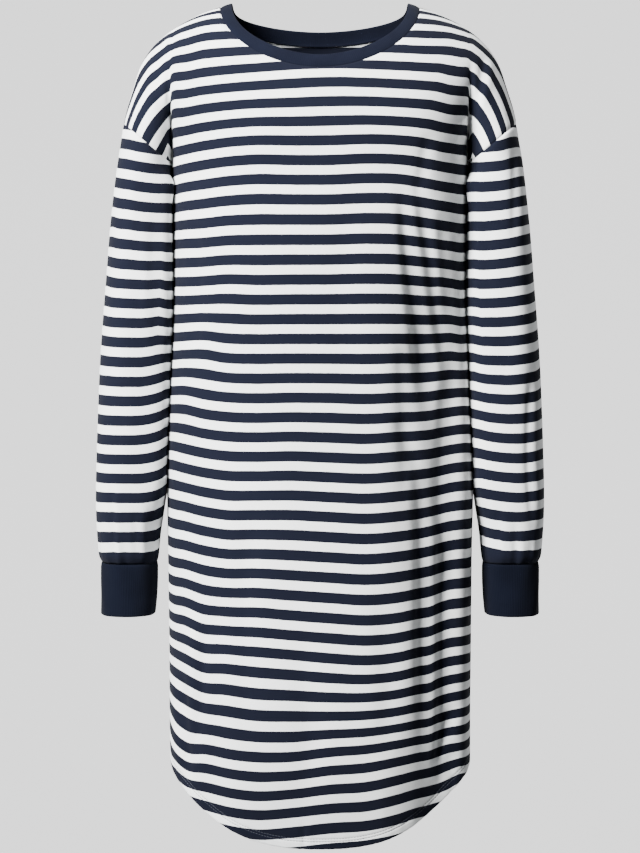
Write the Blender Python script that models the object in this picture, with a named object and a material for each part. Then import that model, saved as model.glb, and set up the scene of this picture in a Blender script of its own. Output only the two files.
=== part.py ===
"""A long-sleeved striped nightshirt, filled out as on its wearer, with nobody in it.

Metres, +Z up, the garment's front faces -Y. The origin is the middle of the neck at the height
of the shoulders, where the wearer's shoulders hold the garment up.

Each cut piece is one closed wall of cloth: front, back, two sleeves, two cuffs, the neckband.
The wall is worked out from its outer surface, a grid of points, and is moved inwards by its
thickness. Neighbouring pieces end SEAM apart.
"""

import math

import bpy
import numpy as np

# Cloth
CLOTH = 0.0015
HEM_CLOTH = 0.0026
CUFF_CLOTH = 0.0022
BAND_CLOTH = 0.0022
SEAM = 0.0003
ARMHOLE_GAP = 0.0006

# Lengths down from the middle of the shoulders
UNDERARM_Z = -0.176
HEM_Z = -0.8812
CUFF_SEAM_Z = -0.5910
CUFF_END_Z = -0.6455

# Half breadths from the centre line
CREASE_X = 0.1530
SHOULDER_TIP_X = 0.2050
SHOULDER_TIP_Z = -0.1335
NECK_HALF = 0.1035
NECK_POINT_Z = -0.0118

# Neck
NECK_DROP = {"front": 0.0723, "back": 0.0316}
NECK_ROUND = {"front": 1.9, "back": 2.0}
BAND_WIDTH = {"front": 0.0155, "side": 0.0127, "back": 0.0165}
BAND_LEAN = {"front": 0.50, "side": 0.940, "back": 0.45}

# Hem: the sides rise above the middle
HEM_RISE = 0.078
HEM_RISE_POWER = 2.6
HEM_SIDE_RISE = 0.006
HEM_TURN = 0.012

# Body sections: z, half breadth, depth in front of the side seam, depth behind it
BODY = np.array([
    (-0.176, 0.1545, 0.1180, 0.1040),
    (-0.250, 0.1535, 0.1240, 0.1030),
    (-0.330, 0.1542, 0.1230, 0.1000),
    (-0.400, 0.1575, 0.1220, 0.1030),
    (-0.480, 0.1608, 0.1215, 0.1080),
    (-0.600, 0.1600, 0.1200, 0.1090),
    (-0.725, 0.1592, 0.1165, 0.1070),
    (-0.805, 0.1592, 0.1040, 0.1000),
    (-0.890, 0.1590, 0.0810, 0.0880),
])
BODY_SQUARE = 2.6

# The shoulder line seen from the front: half breadth, z
SHOULDER = np.array([
    (0.0000, -0.0010),
    (0.0600, -0.0035),
    (0.1035, -0.0118),
    (0.1338, -0.0238),
    (0.1530, -0.0345),
    (0.1680, -0.0462),
    (0.1785, -0.0580),
    (0.1883, -0.0755),
    (0.1948, -0.0955),
    (0.2010, -0.1155),
    (0.2050, -0.1335),
])
SHOULDER_SPAN = 0.2080
SHOULDER_SQUARE = 2.4

# The upper arm under the yoke: its middle, half breadth and half depth at the underarm
ARM_X = 0.1830
ARM_HALF = 0.0305
ARM_DEPTH = {"front": 0.0680, "back": 0.0640}
ARM_SQUARE = 2.2
CREASE_TOP_Z = -0.058
VALLEY = 0.008

# Sleeve sections: z, outer half breadth, inner half breadth, middle y, half depth
SLEEVE = np.array([
    (-0.120, 0.2035, 0.1580, 0.000, 0.0660),
    (-0.185, 0.2128, 0.1572, 0.000, 0.0680),
    (-0.230, 0.2182, 0.1560, -0.001, 0.0670),
    (-0.310, 0.2254, 0.1565, -0.004, 0.0630),
    (-0.400, 0.2311, 0.1602, -0.008, 0.0580),
    (-0.480, 0.2343, 0.1634, -0.012, 0.0530),
    (-0.550, 0.2347, 0.1668, -0.015, 0.0450),
    (-0.591, 0.2318, 0.1700, -0.018, 0.0335),
])
SLEEVE_SQUARE = 2.3
CUFF_TOP = {"x": 0.2000, "half": 0.0298, "y": -0.0180, "depth": 0.0310}
CUFF_END = {"x": 0.2018, "half": 0.0284, "y": -0.0200, "depth": 0.0300}
# The share of the sleeve's length over which it takes on its own section below the armhole
SLEEVE_SETTLE = 0.14
# Rows are closer together where the sleeve starts: the power of their spacing
SLEEVE_SPACING = 0.9

# The largest folds of the front and the back, as grooves that run down the cloth:
# side, x and z at the top, x and z at the bottom, depth, half width
FOLDS = [
    ("front", 0.098, -0.21, 0.122, -0.56, 0.0035, 0.013),
    ("front", 0.116, -0.56, 0.117, -0.86, 0.0045, 0.014),
    ("front", -0.105, -0.60, -0.112, -0.84, 0.0030, 0.015),
    ("back", -0.085, -0.24, -0.112, -0.78, 0.0050, 0.017),
    ("back", 0.070, -0.28, 0.100, -0.80, 0.0045, 0.017),
    ("back", 0.000, -0.34, -0.010, -0.82, 0.0040, 0.020),
]
FOLD_START = 0.20
FOLD_END = 0.25

# Steps of the grids
NECK_STEPS = 10
NECK_SAMPLES = 400
NECK_COLUMN_X = 0.128
COLUMN_TURN = 3
YOKE_XS = {"low": (0.134, 0.140, 0.1465), "high": (0.116, 0.1285, 0.141)}
SIDE_STEPS = 4
LOWER_ROWS = 16
UPPER_ROWS = 9
CAP_COLUMNS = 7
SLEEVE_ROWS = 13
CUFF_ROWS = 2
BAND_ROWS = 2

FACING = {"front": -1.0, "back": 1.0}
SHARP_EDGE = math.radians(50)
# A groove fades out where the body's section turns in by this share of its depth
SIDE_FADE = 0.5


def clear_scene():
    """Removes what the start-up scene holds."""
    for thing in list(bpy.data.objects):
        bpy.data.objects.remove(thing, do_unlink=True)


def smooth(t):
    """0 below 0, 1 above 1, and an S curve with level ends between."""
    t = np.clip(t, 0.0, 1.0)
    return t * t * (3.0 - 2.0 * t)


def eased(at, knots, values):
    """A smooth curve through a table: a cubic on each span, with slopes from the neighbours."""
    order = np.argsort(knots)
    knots, values = np.asarray(knots)[order], np.asarray(values)[order]
    slopes = np.gradient(values, knots)
    at = np.clip(at, knots[0], knots[-1])
    i = np.clip(np.searchsorted(knots, at) - 1, 0, len(knots) - 2)
    span = knots[i + 1] - knots[i]
    t = (at - knots[i]) / span
    return (
        values[i] * (1 + 2 * t) * (1 - t) ** 2
        + slopes[i] * span * t * (1 - t) ** 2
        + values[i + 1] * t * t * (3 - 2 * t)
        + slopes[i + 1] * span * t * t * (t - 1)
    )


def rounded(x, power):
    """The height of a superellipse of half breadth 1 and height 1, at x from its middle."""
    return np.maximum(1.0 - np.abs(x) ** power, 0.0) ** (1.0 / power)


def body_half(z):
    return eased(z, BODY[:, 0], BODY[:, 1])


def body_depth(z, side):
    return eased(z, BODY[:, 0], BODY[:, 2 if side == "front" else 3])


def shoulder_z(x):
    return eased(np.abs(x), SHOULDER[:, 0], SHOULDER[:, 1])


def fold_depth(x, z, side):
    """How far the folds' grooves draw the cloth in at a point of the front or the back."""
    drawn = np.zeros(np.broadcast(x, z).shape)
    for where, x_top, z_top, x_end, z_end, depth, half in FOLDS:
        if where == side:
            down = (z - z_top) / (z_end - z_top)
            middle = x_top + (x_end - x_top) * down
            fade = smooth(down / FOLD_START) * smooth((1 + FOLD_END - down) / FOLD_END)
            drawn += depth * fade * np.exp(-(((x - middle) / half) ** 2))
    return drawn


def upper_depth(x, z, side):
    """Depth of the yoke in front of (or behind) the shoulder seam, before it rounds off
    towards that seam. At the underarm it is the body's section up to the crease and the arm's
    section past it, and above the crease's top one broad shoulder."""
    x = np.abs(x)
    depth = body_depth(UNDERARM_Z, side)
    body = depth * rounded(np.minimum(x / body_half(UNDERARM_Z), 1.0), BODY_SQUARE)
    at_crease = depth * rounded(CREASE_X / body_half(UNDERARM_Z), BODY_SQUARE)
    arm = ARM_DEPTH[side] * rounded(np.clip((x - ARM_X) / ARM_HALF, -1, 1), ARM_SQUARE)
    arm_at_crease = ARM_DEPTH[side] * rounded((CREASE_X - ARM_X) / ARM_HALF, ARM_SQUARE)
    arm = arm + (at_crease - arm_at_crease) * np.exp(-(x - CREASE_X) / VALLEY)
    low = np.where(x <= CREASE_X, body, arm)
    broad = depth * rounded(x / SHOULDER_SPAN, SHOULDER_SQUARE)
    rise = smooth((z - UNDERARM_Z) / (CREASE_TOP_Z - UNDERARM_Z))
    return low + (broad - low) * rise


def neckline_z(x, side):
    return NECK_POINT_Z - NECK_DROP[side] * rounded(x / NECK_HALF, NECK_ROUND[side])


def upper_points(x_low, z_low, x_high, z_high, rows, side):
    """Columns of points from a lower to an upper end. A column at one breadth is a stretch of
    a quarter ellipse that stands on the underarm level and meets the shoulder line; one whose
    ends differ in breadth turns from one of those ellipses to another as it rises."""
    share = np.linspace(0, 1, rows + 1)[:, None]
    x = x_low + (x_high - x_low) * share ** COLUMN_TURN
    start = np.arcsin(np.clip((z_low - UNDERARM_Z) / (shoulder_z(x_low) - UNDERARM_Z), 0, 1))
    end = np.arcsin(np.clip((z_high - UNDERARM_Z) / (shoulder_z(x_high) - UNDERARM_Z), 0, 1))
    angle = start + (end - start) * share
    z = UNDERARM_Z + (shoulder_z(x) - UNDERARM_Z) * np.sin(angle)
    depth = upper_depth(x, z, side) * np.cos(angle)
    y = FACING[side] * np.maximum(depth, SEAM / 2)
    return np.stack([x, y, z], axis=-1)


def neckline_points(x, side):
    """Points of the panel's neckline at given breadths."""
    z = np.where(np.abs(x) < NECK_HALF - 1e-9, neckline_z(x, side), shoulder_z(x))
    return upper_points(x, z, x, z, 1, side)[-1]


def neck_breadths(side):
    """Half breadths that part half of the neckline into equal lengths, middle first."""
    x = NECK_HALF * np.sin(np.linspace(0, math.pi / 2, NECK_SAMPLES))
    share = share_along(neckline_points(x, side))
    return np.interp(np.linspace(0, 1, NECK_STEPS + 1), share, x)


def yoke_columns():
    """Half breadths of the body's columns at the underarm, from the middle to the crease."""
    neck = np.linspace(0, NECK_COLUMN_X, NECK_STEPS + 1)
    return np.concatenate([neck, YOKE_XS["low"], [CREASE_X]])


def side_columns(side):
    """Breadth and depth, as shares of the body's section, from the crease to the side seam."""
    start = rounded(CREASE_X / body_half(UNDERARM_Z), BODY_SQUARE)
    share = start * np.linspace(1, 0, SIDE_STEPS + 1)[1:]
    share[-1] = SEAM / 2 / body_depth(UNDERARM_Z, side)
    return rounded(share, BODY_SQUARE), share


def mirrored_row(half):
    """A row of signed columns from one side to the other, out of those from the middle out."""
    return np.concatenate([-half[:0:-1], half])


def hem_z(across, depth_share):
    """The hem's height at a column: it rises towards the sides and a little more round them."""
    crease_share = rounded(CREASE_X / body_half(UNDERARM_Z), BODY_SQUARE)
    round_side = 1 - np.clip(depth_share / crease_share, 0, 1)
    return HEM_Z + HEM_RISE * np.abs(across) ** HEM_RISE_POWER + HEM_SIDE_RISE * round_side


def lower_points(side):
    """The body below the underarm: rows follow the hem at the bottom and level out above."""
    half = yoke_columns() / body_half(UNDERARM_Z)
    side_across, side_depth = side_columns(side)
    across = mirrored_row(np.concatenate([half, side_across]))
    deep = np.concatenate([rounded(half, BODY_SQUARE), side_depth])
    deep = np.concatenate([deep[:0:-1], deep])
    down = np.linspace(1, 0, LOWER_ROWS + 1)[:, None]
    z = UNDERARM_Z + (hem_z(across, deep) - UNDERARM_Z) * down
    x = body_half(z) * across
    drawn = fold_depth(x, z, side) * smooth(deep / SIDE_FADE)
    y = np.maximum(body_depth(z, side) * deep - drawn, SEAM / 2)
    return np.stack([x, FACING[side] * y, z], axis=-1)


def yoke_points(side):
    """The body above the underarm, between the two creases."""
    top_x = mirrored_row(np.concatenate([neck_breadths(side), YOKE_XS["high"], [CREASE_X]]))
    top = np.where(np.abs(top_x) < NECK_HALF - 1e-9, neckline_z(top_x, side), shoulder_z(top_x))
    low_x = mirrored_row(yoke_columns())
    return upper_points(low_x, UNDERARM_Z, top_x, top, UPPER_ROWS, side)


def armhole_z(x):
    """Height of the dropped shoulder's seam, a slanting line in the front view."""
    slope = (SHOULDER_TIP_Z - UNDERARM_Z) / (SHOULDER_TIP_X - CREASE_X)
    return UNDERARM_Z + slope * (np.abs(x) - CREASE_X)


def cap_points(side, hand):
    """The yoke past the crease: it lies on the upper arm, down to the armhole's seam."""
    share = np.sin(np.linspace(0, math.pi / 2, CAP_COLUMNS + 1))
    x = hand * (CREASE_X + (SHOULDER_TIP_X - CREASE_X) * share)
    return upper_points(x, armhole_z(x), x, shoulder_z(x), UPPER_ROWS, side)


def quads(grid):
    """The corner points of a grid's cells."""
    corners = [grid[:-1, :-1], grid[:-1, 1:], grid[1:, 1:], grid[1:, :-1]]
    return np.stack(corners, axis=2).reshape(-1, 4, 3)


def split(face, points):
    """The triangles of a face: a four-sided one is cut along its shorter diagonal."""
    if len(face) == 3:
        return [tuple(face)]
    a, b, c, d = face
    if np.linalg.norm(points[a] - points[c]) <= np.linalg.norm(points[b] - points[d]):
        return [(a, b, c), (a, c, d)]
    return [(a, b, d), (b, c, d)]


def joined(grids):
    """Points and triangles of several grids whose shared edges are made one."""
    corners = np.concatenate([quads(g) for g in grids])
    keys = np.round(corners.reshape(-1, 3) * 1e6).astype(np.int64)
    _, first, index = np.unique(keys, axis=0, return_index=True, return_inverse=True)
    points = corners.reshape(-1, 3)[first]
    faces = []
    for face in index.reshape(-1, 4).tolist():
        kept = [v for i, v in enumerate(face) if v != face[i - 1]]
        if len(kept) >= 3:
            faces.extend(split(kept, points))
    return points, np.array(faces)


def point_normals(points, faces):
    """The average direction of the faces round each point, weighted by area."""
    a, b, c = points[faces[:, 0]], points[faces[:, 1]], points[faces[:, 2]]
    flat = np.cross(b - a, c - a)
    total = np.zeros_like(points)
    for k in range(3):
        np.add.at(total, faces[:, k], flat)
    return total / np.maximum(np.linalg.norm(total, axis=1), 1e-12)[:, None]


def closed_wall(points, faces, normals, thickness):
    """A surface and its copy moved inwards, joined by a rim along every open edge."""
    inner = points - normals * np.broadcast_to(thickness, len(points))[:, None]
    count = len(points)
    sides = [(faces[:, k].tolist(), faces[:, k - 2].tolist()) for k in range(3)]
    edges = {pair for starts, ends in sides for pair in zip(starts, ends)}
    every = np.concatenate([points, inner])
    rim = []
    for a, b in sorted(edges):
        if (b, a) not in edges:
            rim.extend(split((b, a, a + count, b + count), every))
    return every, np.concatenate([faces, faces[:, ::-1] + count, rim])


def add_object(name, points, faces, material):
    """A named object whose place is in its mesh, shaded smooth but for its rims."""
    mesh = bpy.data.meshes.new(name)
    mesh.from_pydata(points.tolist(), [], faces.tolist())
    mesh.validate()
    mesh.materials.append(material)
    mesh.shade_smooth()
    mesh.set_sharp_from_angle(angle=SHARP_EDGE)
    thing = bpy.data.objects.new(name, mesh)
    bpy.context.scene.collection.objects.link(thing)
    return thing


def cloth_material(name, colour, roughness):
    material = bpy.data.materials.new(name)
    material.use_nodes = True
    shader = material.node_tree.nodes["Principled BSDF"]
    shader.inputs["Base Color"].default_value = (*colour, 1.0)
    shader.inputs["Roughness"].default_value = roughness
    shader.inputs["Metallic"].default_value = 0.0
    material.diffuse_color = (*colour, 1.0)
    return material


def facing_out(points, faces, towards):
    """The faces, all turned round if they look away from the given direction on average."""
    a, b, c = points[faces[:, 0]], points[faces[:, 1]], points[faces[:, 2]]
    looks = (np.cross(b - a, c - a) * towards(points)[faces[:, 0]]).sum()
    return faces if looks > 0 else faces[:, ::-1]


def make_panel(side, material):
    """The front or the back, and a table of its surface directions for its neighbours."""
    grids = [lower_points(side), yoke_points(side)]
    grids += [cap_points(side, hand) for hand in (-1.0, 1.0)]
    grids[2] = grids[2][:, ::-1]
    points, faces = joined(grids)
    forward = np.array([0.0, FACING[side], 0.0])
    faces = facing_out(points, faces, lambda p: np.broadcast_to(forward, p.shape))
    normals = point_normals(points, faces)
    on_seam = np.abs(points[:, 1]) < SEAM
    normals[on_seam, 1] = 0.0
    normals /= np.linalg.norm(normals, axis=1)[:, None]
    across = points[:, 0] / body_half(points[:, 2])
    at_hem = points[:, 2] < HEM_Z + HEM_RISE * np.abs(across) ** HEM_RISE_POWER + HEM_TURN
    thickness = np.where(at_hem & (points[:, 2] < UNDERARM_Z), HEM_CLOTH, CLOTH)
    wall = closed_wall(points, faces, normals, thickness)
    add_object(side, *wall, material)
    return points, normals


def normals_at(wanted, panel):
    """The panel's surface direction at points of its edge."""
    points, normals = panel
    away = np.linalg.norm(wanted[:, None, :] - points[None, :, :], axis=2)
    return normals[away.argmin(axis=1)]


def armhole_half(side, hand):
    """The armhole's edge from the underarm to the shoulder tip, on one panel."""
    side_across, side_depth = side_columns(side)
    under = np.stack([
        hand * body_half(UNDERARM_Z) * side_across[::-1],
        FACING[side] * body_depth(UNDERARM_Z, side) * side_depth[::-1],
        np.full(SIDE_STEPS, UNDERARM_Z),
    ], axis=-1)
    cap = cap_points(side, hand)[0]
    return np.concatenate([under, cap])


def share_along(line):
    """How far along a line each of its points lies, from 0 to 1."""
    steps = np.linalg.norm(np.diff(line, axis=0), axis=1)
    along = np.concatenate([[0.0], np.cumsum(steps)])
    return along / along[-1]


def tube_section(angle, x, half, y, depth, power):
    """A point of a flattened ring. Angle 0 is its inner side and a quarter turn its front."""
    c, s = np.cos(angle), np.sin(angle)
    across = -np.sign(c) * np.abs(c) ** (2 / power)
    along = -np.sign(s) * np.abs(s) ** (2 / power)
    return x + half * across, y + depth * along


def sleeve_section(angle, z, hand):
    outer, inner, middle_y, depth = (eased(z, SLEEVE[:, 0], SLEEVE[:, k]) for k in (1, 2, 3, 4))
    x, y = tube_section(angle, (outer + inner) / 2, (outer - inner) / 2, middle_y, depth, SLEEVE_SQUARE)
    return np.stack([hand * x, y, z], axis=-1)


def make_sleeve(name, hand, front, back, material):
    """A sleeve: its top ring follows the armhole, and below it is a flattened tapering tube."""
    front_half, back_half = armhole_half("front", hand), armhole_half("back", hand)
    ring = np.concatenate([front_half, back_half[-2:0:-1]])
    ring[0, 1] = ring[len(front_half) - 1, 1] = 0.0
    count, half_count = len(ring), len(front_half)
    angle = np.concatenate([
        math.pi * share_along(front_half),
        2 * math.pi - math.pi * share_along(back_half)[-2:0:-1],
    ])
    beside = np.zeros(count)
    beside[:SIDE_STEPS] = 1.0
    beside[count - SIDE_STEPS + 1:] = 1.0
    at_crease = [SIDE_STEPS, count - SIDE_STEPS]
    beside[at_crease] = 0.5
    shift = np.stack([hand * beside, np.zeros(count), beside - 1.0], axis=-1)
    shift /= np.linalg.norm(shift, axis=1)[:, None]
    top = ring + ARMHOLE_GAP * shift
    down = np.linspace(0, 1, SLEEVE_ROWS + 1)[:, None] ** SLEEVE_SPACING
    z = top[:, 2] + (CUFF_SEAM_Z - top[:, 2]) * down
    settle = 1 - smooth(down / SLEEVE_SETTLE)
    off_section = top - sleeve_section(angle, top[:, 2], hand)
    grid = sleeve_section(angle, z, hand) + off_section * settle[..., None]
    grid = np.concatenate([grid, grid[:, :1]], axis=1)
    points, faces = joined([grid])
    middle = np.array([hand * CUFF_TOP["x"], CUFF_TOP["y"] / 2])
    faces = facing_out(points, faces, lambda p: np.c_[p[:, :2] - middle, np.zeros(len(p))])
    normals = point_normals(points, faces)
    on_cap = [j for j in range(count) if beside[j] == 0 and j != half_count - 1]
    for j in on_cap:
        here = np.linalg.norm(points - top[j], axis=1).argmin()
        panel = front if j < half_count else back
        normals[here] = normals_at(ring[j:j + 1], panel)[0]
    wall = closed_wall(points, faces, normals, CLOTH)
    add_object(name, *wall, material)


def make_cuff(name, hand, material):
    """A doubled cuff, a little narrower than the sleeve's end that is eased into it."""
    angle = np.linspace(0, 2 * math.pi, 2 * (SIDE_STEPS + CAP_COLUMNS) + 1)
    down = np.linspace(0, 1, CUFF_ROWS + 1)[:, None]
    size = {k: CUFF_TOP[k] + (CUFF_END[k] - CUFF_TOP[k]) * down for k in CUFF_TOP}
    x, y = tube_section(angle, size["x"], size["half"], size["y"], size["depth"], SLEEVE_SQUARE)
    z = np.broadcast_to(CUFF_SEAM_Z - SEAM + (CUFF_END_Z - CUFF_SEAM_Z + SEAM) * down, x.shape)
    points, faces = joined([np.stack([hand * x, y, z], axis=-1)])
    middle = np.array([hand * CUFF_TOP["x"], CUFF_TOP["y"]])
    faces = facing_out(points, faces, lambda p: np.c_[p[:, :2] - middle, np.zeros(len(p))])
    normals = point_normals(points, faces)
    normals[:, 2] = 0.0
    normals /= np.linalg.norm(normals, axis=1)[:, None]
    wall = closed_wall(points, faces, normals, CUFF_CLOTH)
    add_object(name, *wall, material)


def make_neckband(front, back, material):
    """The band sewn round the neckline. It leans in over the neck at its sides and stands up
    at the front and the back."""
    front_line, back_line = (
        neckline_points(mirrored_row(neck_breadths(side)), side) for side in ("front", "back"))
    seam = np.concatenate([front_line, back_line[-2:0:-1]])
    normals = np.concatenate([normals_at(front_line, front), normals_at(back_line, back)[-2:0:-1]])
    seam[0, 1] = seam[len(front_line) - 1, 1] = 0.0
    is_front = seam[:, 1] <= 0
    sideways = np.clip(np.abs(seam[:, 0]) / NECK_HALF, 0, 1) ** 3
    width = np.where(is_front, BAND_WIDTH["front"], BAND_WIDTH["back"])
    width = width + (BAND_WIDTH["side"] - width) * sideways
    lean = np.where(is_front, BAND_LEAN["front"], BAND_LEAN["back"])
    lean = lean + (BAND_LEAN["side"] - lean) * sideways
    inwards = -np.c_[seam[:, 0] / NECK_HALF ** 2, seam[:, 1] / 0.1 ** 2]
    inwards /= np.linalg.norm(inwards, axis=1)[:, None]
    rise = np.c_[inwards * lean[:, None], np.sqrt(1 - lean ** 2)]
    along = np.roll(seam, -1, axis=0) - np.roll(seam, 1, axis=0)
    along /= np.linalg.norm(along, axis=1)[:, None]
    rise -= along * (rise * along).sum(axis=1)[:, None]
    rise /= np.linalg.norm(rise, axis=1)[:, None]
    share = np.linspace(0, 1, BAND_ROWS + 1)[:, None, None]
    start = seam + SEAM * rise
    grid = start + rise * width[:, None] * share
    grid = np.concatenate([grid, grid[:, :1]], axis=1)
    points, faces = joined([grid])
    faces = facing_out(points, faces, lambda p: np.c_[p[:, :2], np.zeros(len(p))])
    out = point_normals(points, faces)
    for j, place in enumerate(start):
        out[np.linalg.norm(points - place, axis=1).argmin()] = normals[j]
    wall = closed_wall(points, faces, out, BAND_CLOTH)
    add_object("neckband", *wall, material)


def main():
    clear_scene()
    striped = cloth_material("striped_jersey", (0.46, 0.48, 0.50), 0.85)
    navy = cloth_material("navy_rib", (0.020, 0.030, 0.060), 0.85)
    front = make_panel("front", striped)
    back = make_panel("back", striped)
    for label, hand in (("left", -1.0), ("right", 1.0)):
        make_sleeve("sleeve_" + label, hand, front, back, striped)
        make_cuff("cuff_" + label, hand, navy)
    make_neckband(front, back, navy)


main()
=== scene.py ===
# %% [markdown]
# # A striped jersey nightshirt
#
# The real object is a long-sleeved nightshirt in light cotton jersey with navy and white
# stripes, shown filled out with nobody in it. Every cell below adds one piece or one finish.
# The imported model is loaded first, because each piece of cloth has to lie where its solid is.

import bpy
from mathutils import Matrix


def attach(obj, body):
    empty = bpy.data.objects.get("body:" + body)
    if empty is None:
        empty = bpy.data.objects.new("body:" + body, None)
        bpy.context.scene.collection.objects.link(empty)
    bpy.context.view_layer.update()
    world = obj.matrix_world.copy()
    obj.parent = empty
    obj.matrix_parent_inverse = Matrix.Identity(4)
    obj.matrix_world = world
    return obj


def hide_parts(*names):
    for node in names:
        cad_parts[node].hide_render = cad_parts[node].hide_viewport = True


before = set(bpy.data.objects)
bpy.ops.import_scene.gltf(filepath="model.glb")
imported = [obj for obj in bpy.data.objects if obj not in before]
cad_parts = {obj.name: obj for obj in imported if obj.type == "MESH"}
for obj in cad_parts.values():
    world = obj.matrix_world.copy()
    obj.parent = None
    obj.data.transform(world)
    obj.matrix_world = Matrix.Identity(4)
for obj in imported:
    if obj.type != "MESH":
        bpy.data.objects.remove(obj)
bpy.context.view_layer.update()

# %% Tools used by every cell
import math

import bpy
import numpy as np
from mathutils import Vector

# %% [markdown]
# ## The camera
#
# The photograph is a catalogue picture taken from the front, level with the chest and looking
# down by about three degrees. A long lens keeps the sleeves from spreading. The place and the
# lens were worked out from the garment's real sizes, so the render lines up with the photograph.

# %% The camera
CAMERA_PLACE = (0.0, -2.2, -0.329)
CAMERA_DOWN = math.radians(3.143)
CAMERA_LENS = 88.0


def add_camera():
    """A camera on the -Y side that looks along +Y and a little downwards."""
    data = bpy.data.cameras.new("photo_camera")
    data.lens = CAMERA_LENS
    data.sensor_width = 36.0
    camera = bpy.data.objects.new("photo_camera", data)
    camera.location = CAMERA_PLACE
    camera.rotation_euler = (math.pi / 2 - CAMERA_DOWN, 0.0, 0.0)
    bpy.context.scene.collection.objects.link(camera)
    bpy.context.scene.camera = camera
    return camera


camera = add_camera()
print("camera lens", camera.data.lens, "mm")

# %% [markdown]
# ## Curves that every shape uses
#
# A garment's outline is a handful of measured breadths with smooth curves between them. One
# function runs a smooth curve through a short table, one makes the rounded-box section that a
# body has, and one is the S curve that lets a fold begin and end softly.

# %% Curves
def smooth(t):
    """0 below 0, 1 above 1, and three t squared less two t cubed between."""
    t = np.clip(t, 0.0, 1.0)
    return t * t * (3.0 - 2.0 * t)


def bell(off, half):
    """The bell curve: 1 in the middle, and e to the minus one at the half width."""
    return np.exp(-((off / half) ** 2))


def cubic(t, span, start, end, slope_at_start, slope_at_end):
    """A cubic between two values with given slopes, at the share t of its span."""
    return (
        start * (1 + 2 * t) * (1 - t) ** 2
        + slope_at_start * span * t * (1 - t) ** 2
        + end * t * t * (3 - 2 * t)
        + slope_at_end * span * t * t * (t - 1)
    )


def eased(at, knots, values):
    """A smooth curve through a table: a cubic on each span, with slopes from the neighbours."""
    order = np.argsort(knots)
    knots, values = np.asarray(knots)[order], np.asarray(values)[order]
    slopes = np.gradient(values, knots)
    at = np.clip(at, knots[0], knots[-1])
    i = np.clip(np.searchsorted(knots, at) - 1, 0, len(knots) - 2)
    span = knots[i + 1] - knots[i]
    return cubic((at - knots[i]) / span, span, values[i], values[i + 1], slopes[i], slopes[i + 1])


def rounded(x, power):
    """The height of a superellipse of half breadth 1 and height 1, at x from its middle."""
    return np.maximum(1.0 - np.abs(x) ** power, 0.0) ** (1.0 / power)


def step_lengths(line):
    """Distances between the points of a line, one after another."""
    return np.linalg.norm(np.diff(line, axis=0), axis=1)


def distance_along(line):
    """How far along a line each of its points lies, in metres."""
    return np.concatenate([[0.0], np.cumsum(step_lengths(line))])


def share_along(line):
    """How far along a line each of its points lies, from 0 to 1."""
    along = distance_along(line)
    return along / along[-1]


def unit(vectors):
    """Each row of vectors brought to length 1."""
    return vectors / np.maximum(np.linalg.norm(vectors, axis=1), 1e-15)[:, None]


# %% [markdown]
# ## The garment's own sizes
#
# These are the same sizes that the solid model is built from, in metres from the middle of the
# neck at shoulder height. Repeating them here lets the cloth be worked out far more finely than
# the solid, and still lie exactly where the solid is.

# %% Sizes of the garment
UNDERARM_Z = -0.176
HEM_Z = -0.8812
CUFF_SEAM_Z = -0.5910
CUFF_END_Z = -0.6455
CREASE_X = 0.1530
SHOULDER_TIP_X = 0.2050
SHOULDER_TIP_Z = -0.1335
NECK_HALF = 0.1035
NECK_POINT_Z = -0.0118
NECK_DROP = {"front": 0.0723, "back": 0.0316}
NECK_ROUND = {"front": 1.9, "back": 2.0}
BAND_WIDTH = {"front": 0.0155, "side": 0.0127, "back": 0.0165}
BAND_LEAN = {"front": 0.50, "side": 0.940, "back": 0.45}
HEM_RISE = 0.078
HEM_RISE_POWER = 2.6
HEM_SIDE_RISE = 0.006
FACING = {"front": -1.0, "back": 1.0}

# Body sections: z, half breadth, depth in front of the side seam, depth behind it
BODY = np.array([
    (-0.176, 0.1545, 0.1180, 0.1040),
    (-0.250, 0.1535, 0.1240, 0.1030),
    (-0.330, 0.1542, 0.1230, 0.1000),
    (-0.400, 0.1575, 0.1220, 0.1030),
    (-0.480, 0.1608, 0.1215, 0.1080),
    (-0.600, 0.1600, 0.1200, 0.1090),
    (-0.725, 0.1592, 0.1165, 0.1070),
    (-0.805, 0.1592, 0.1040, 0.1000),
    (-0.890, 0.1590, 0.0810, 0.0880),
])
BODY_SQUARE = 2.6

# The shoulder line seen from the front: half breadth, z
SHOULDER = np.array([
    (0.0000, -0.0010),
    (0.0600, -0.0035),
    (0.1035, -0.0118),
    (0.1338, -0.0238),
    (0.1530, -0.0345),
    (0.1680, -0.0462),
    (0.1785, -0.0580),
    (0.1883, -0.0755),
    (0.1948, -0.0955),
    (0.2010, -0.1155),
    (0.2050, -0.1335),
])
SHOULDER_SPAN = 0.2080
SHOULDER_SQUARE = 2.4
ARM_X = 0.1830
ARM_HALF = 0.0305
ARM_DEPTH = {"front": 0.0680, "back": 0.0640}
ARM_SQUARE = 2.2
CREASE_TOP_Z = -0.058
VALLEY = 0.008

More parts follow.
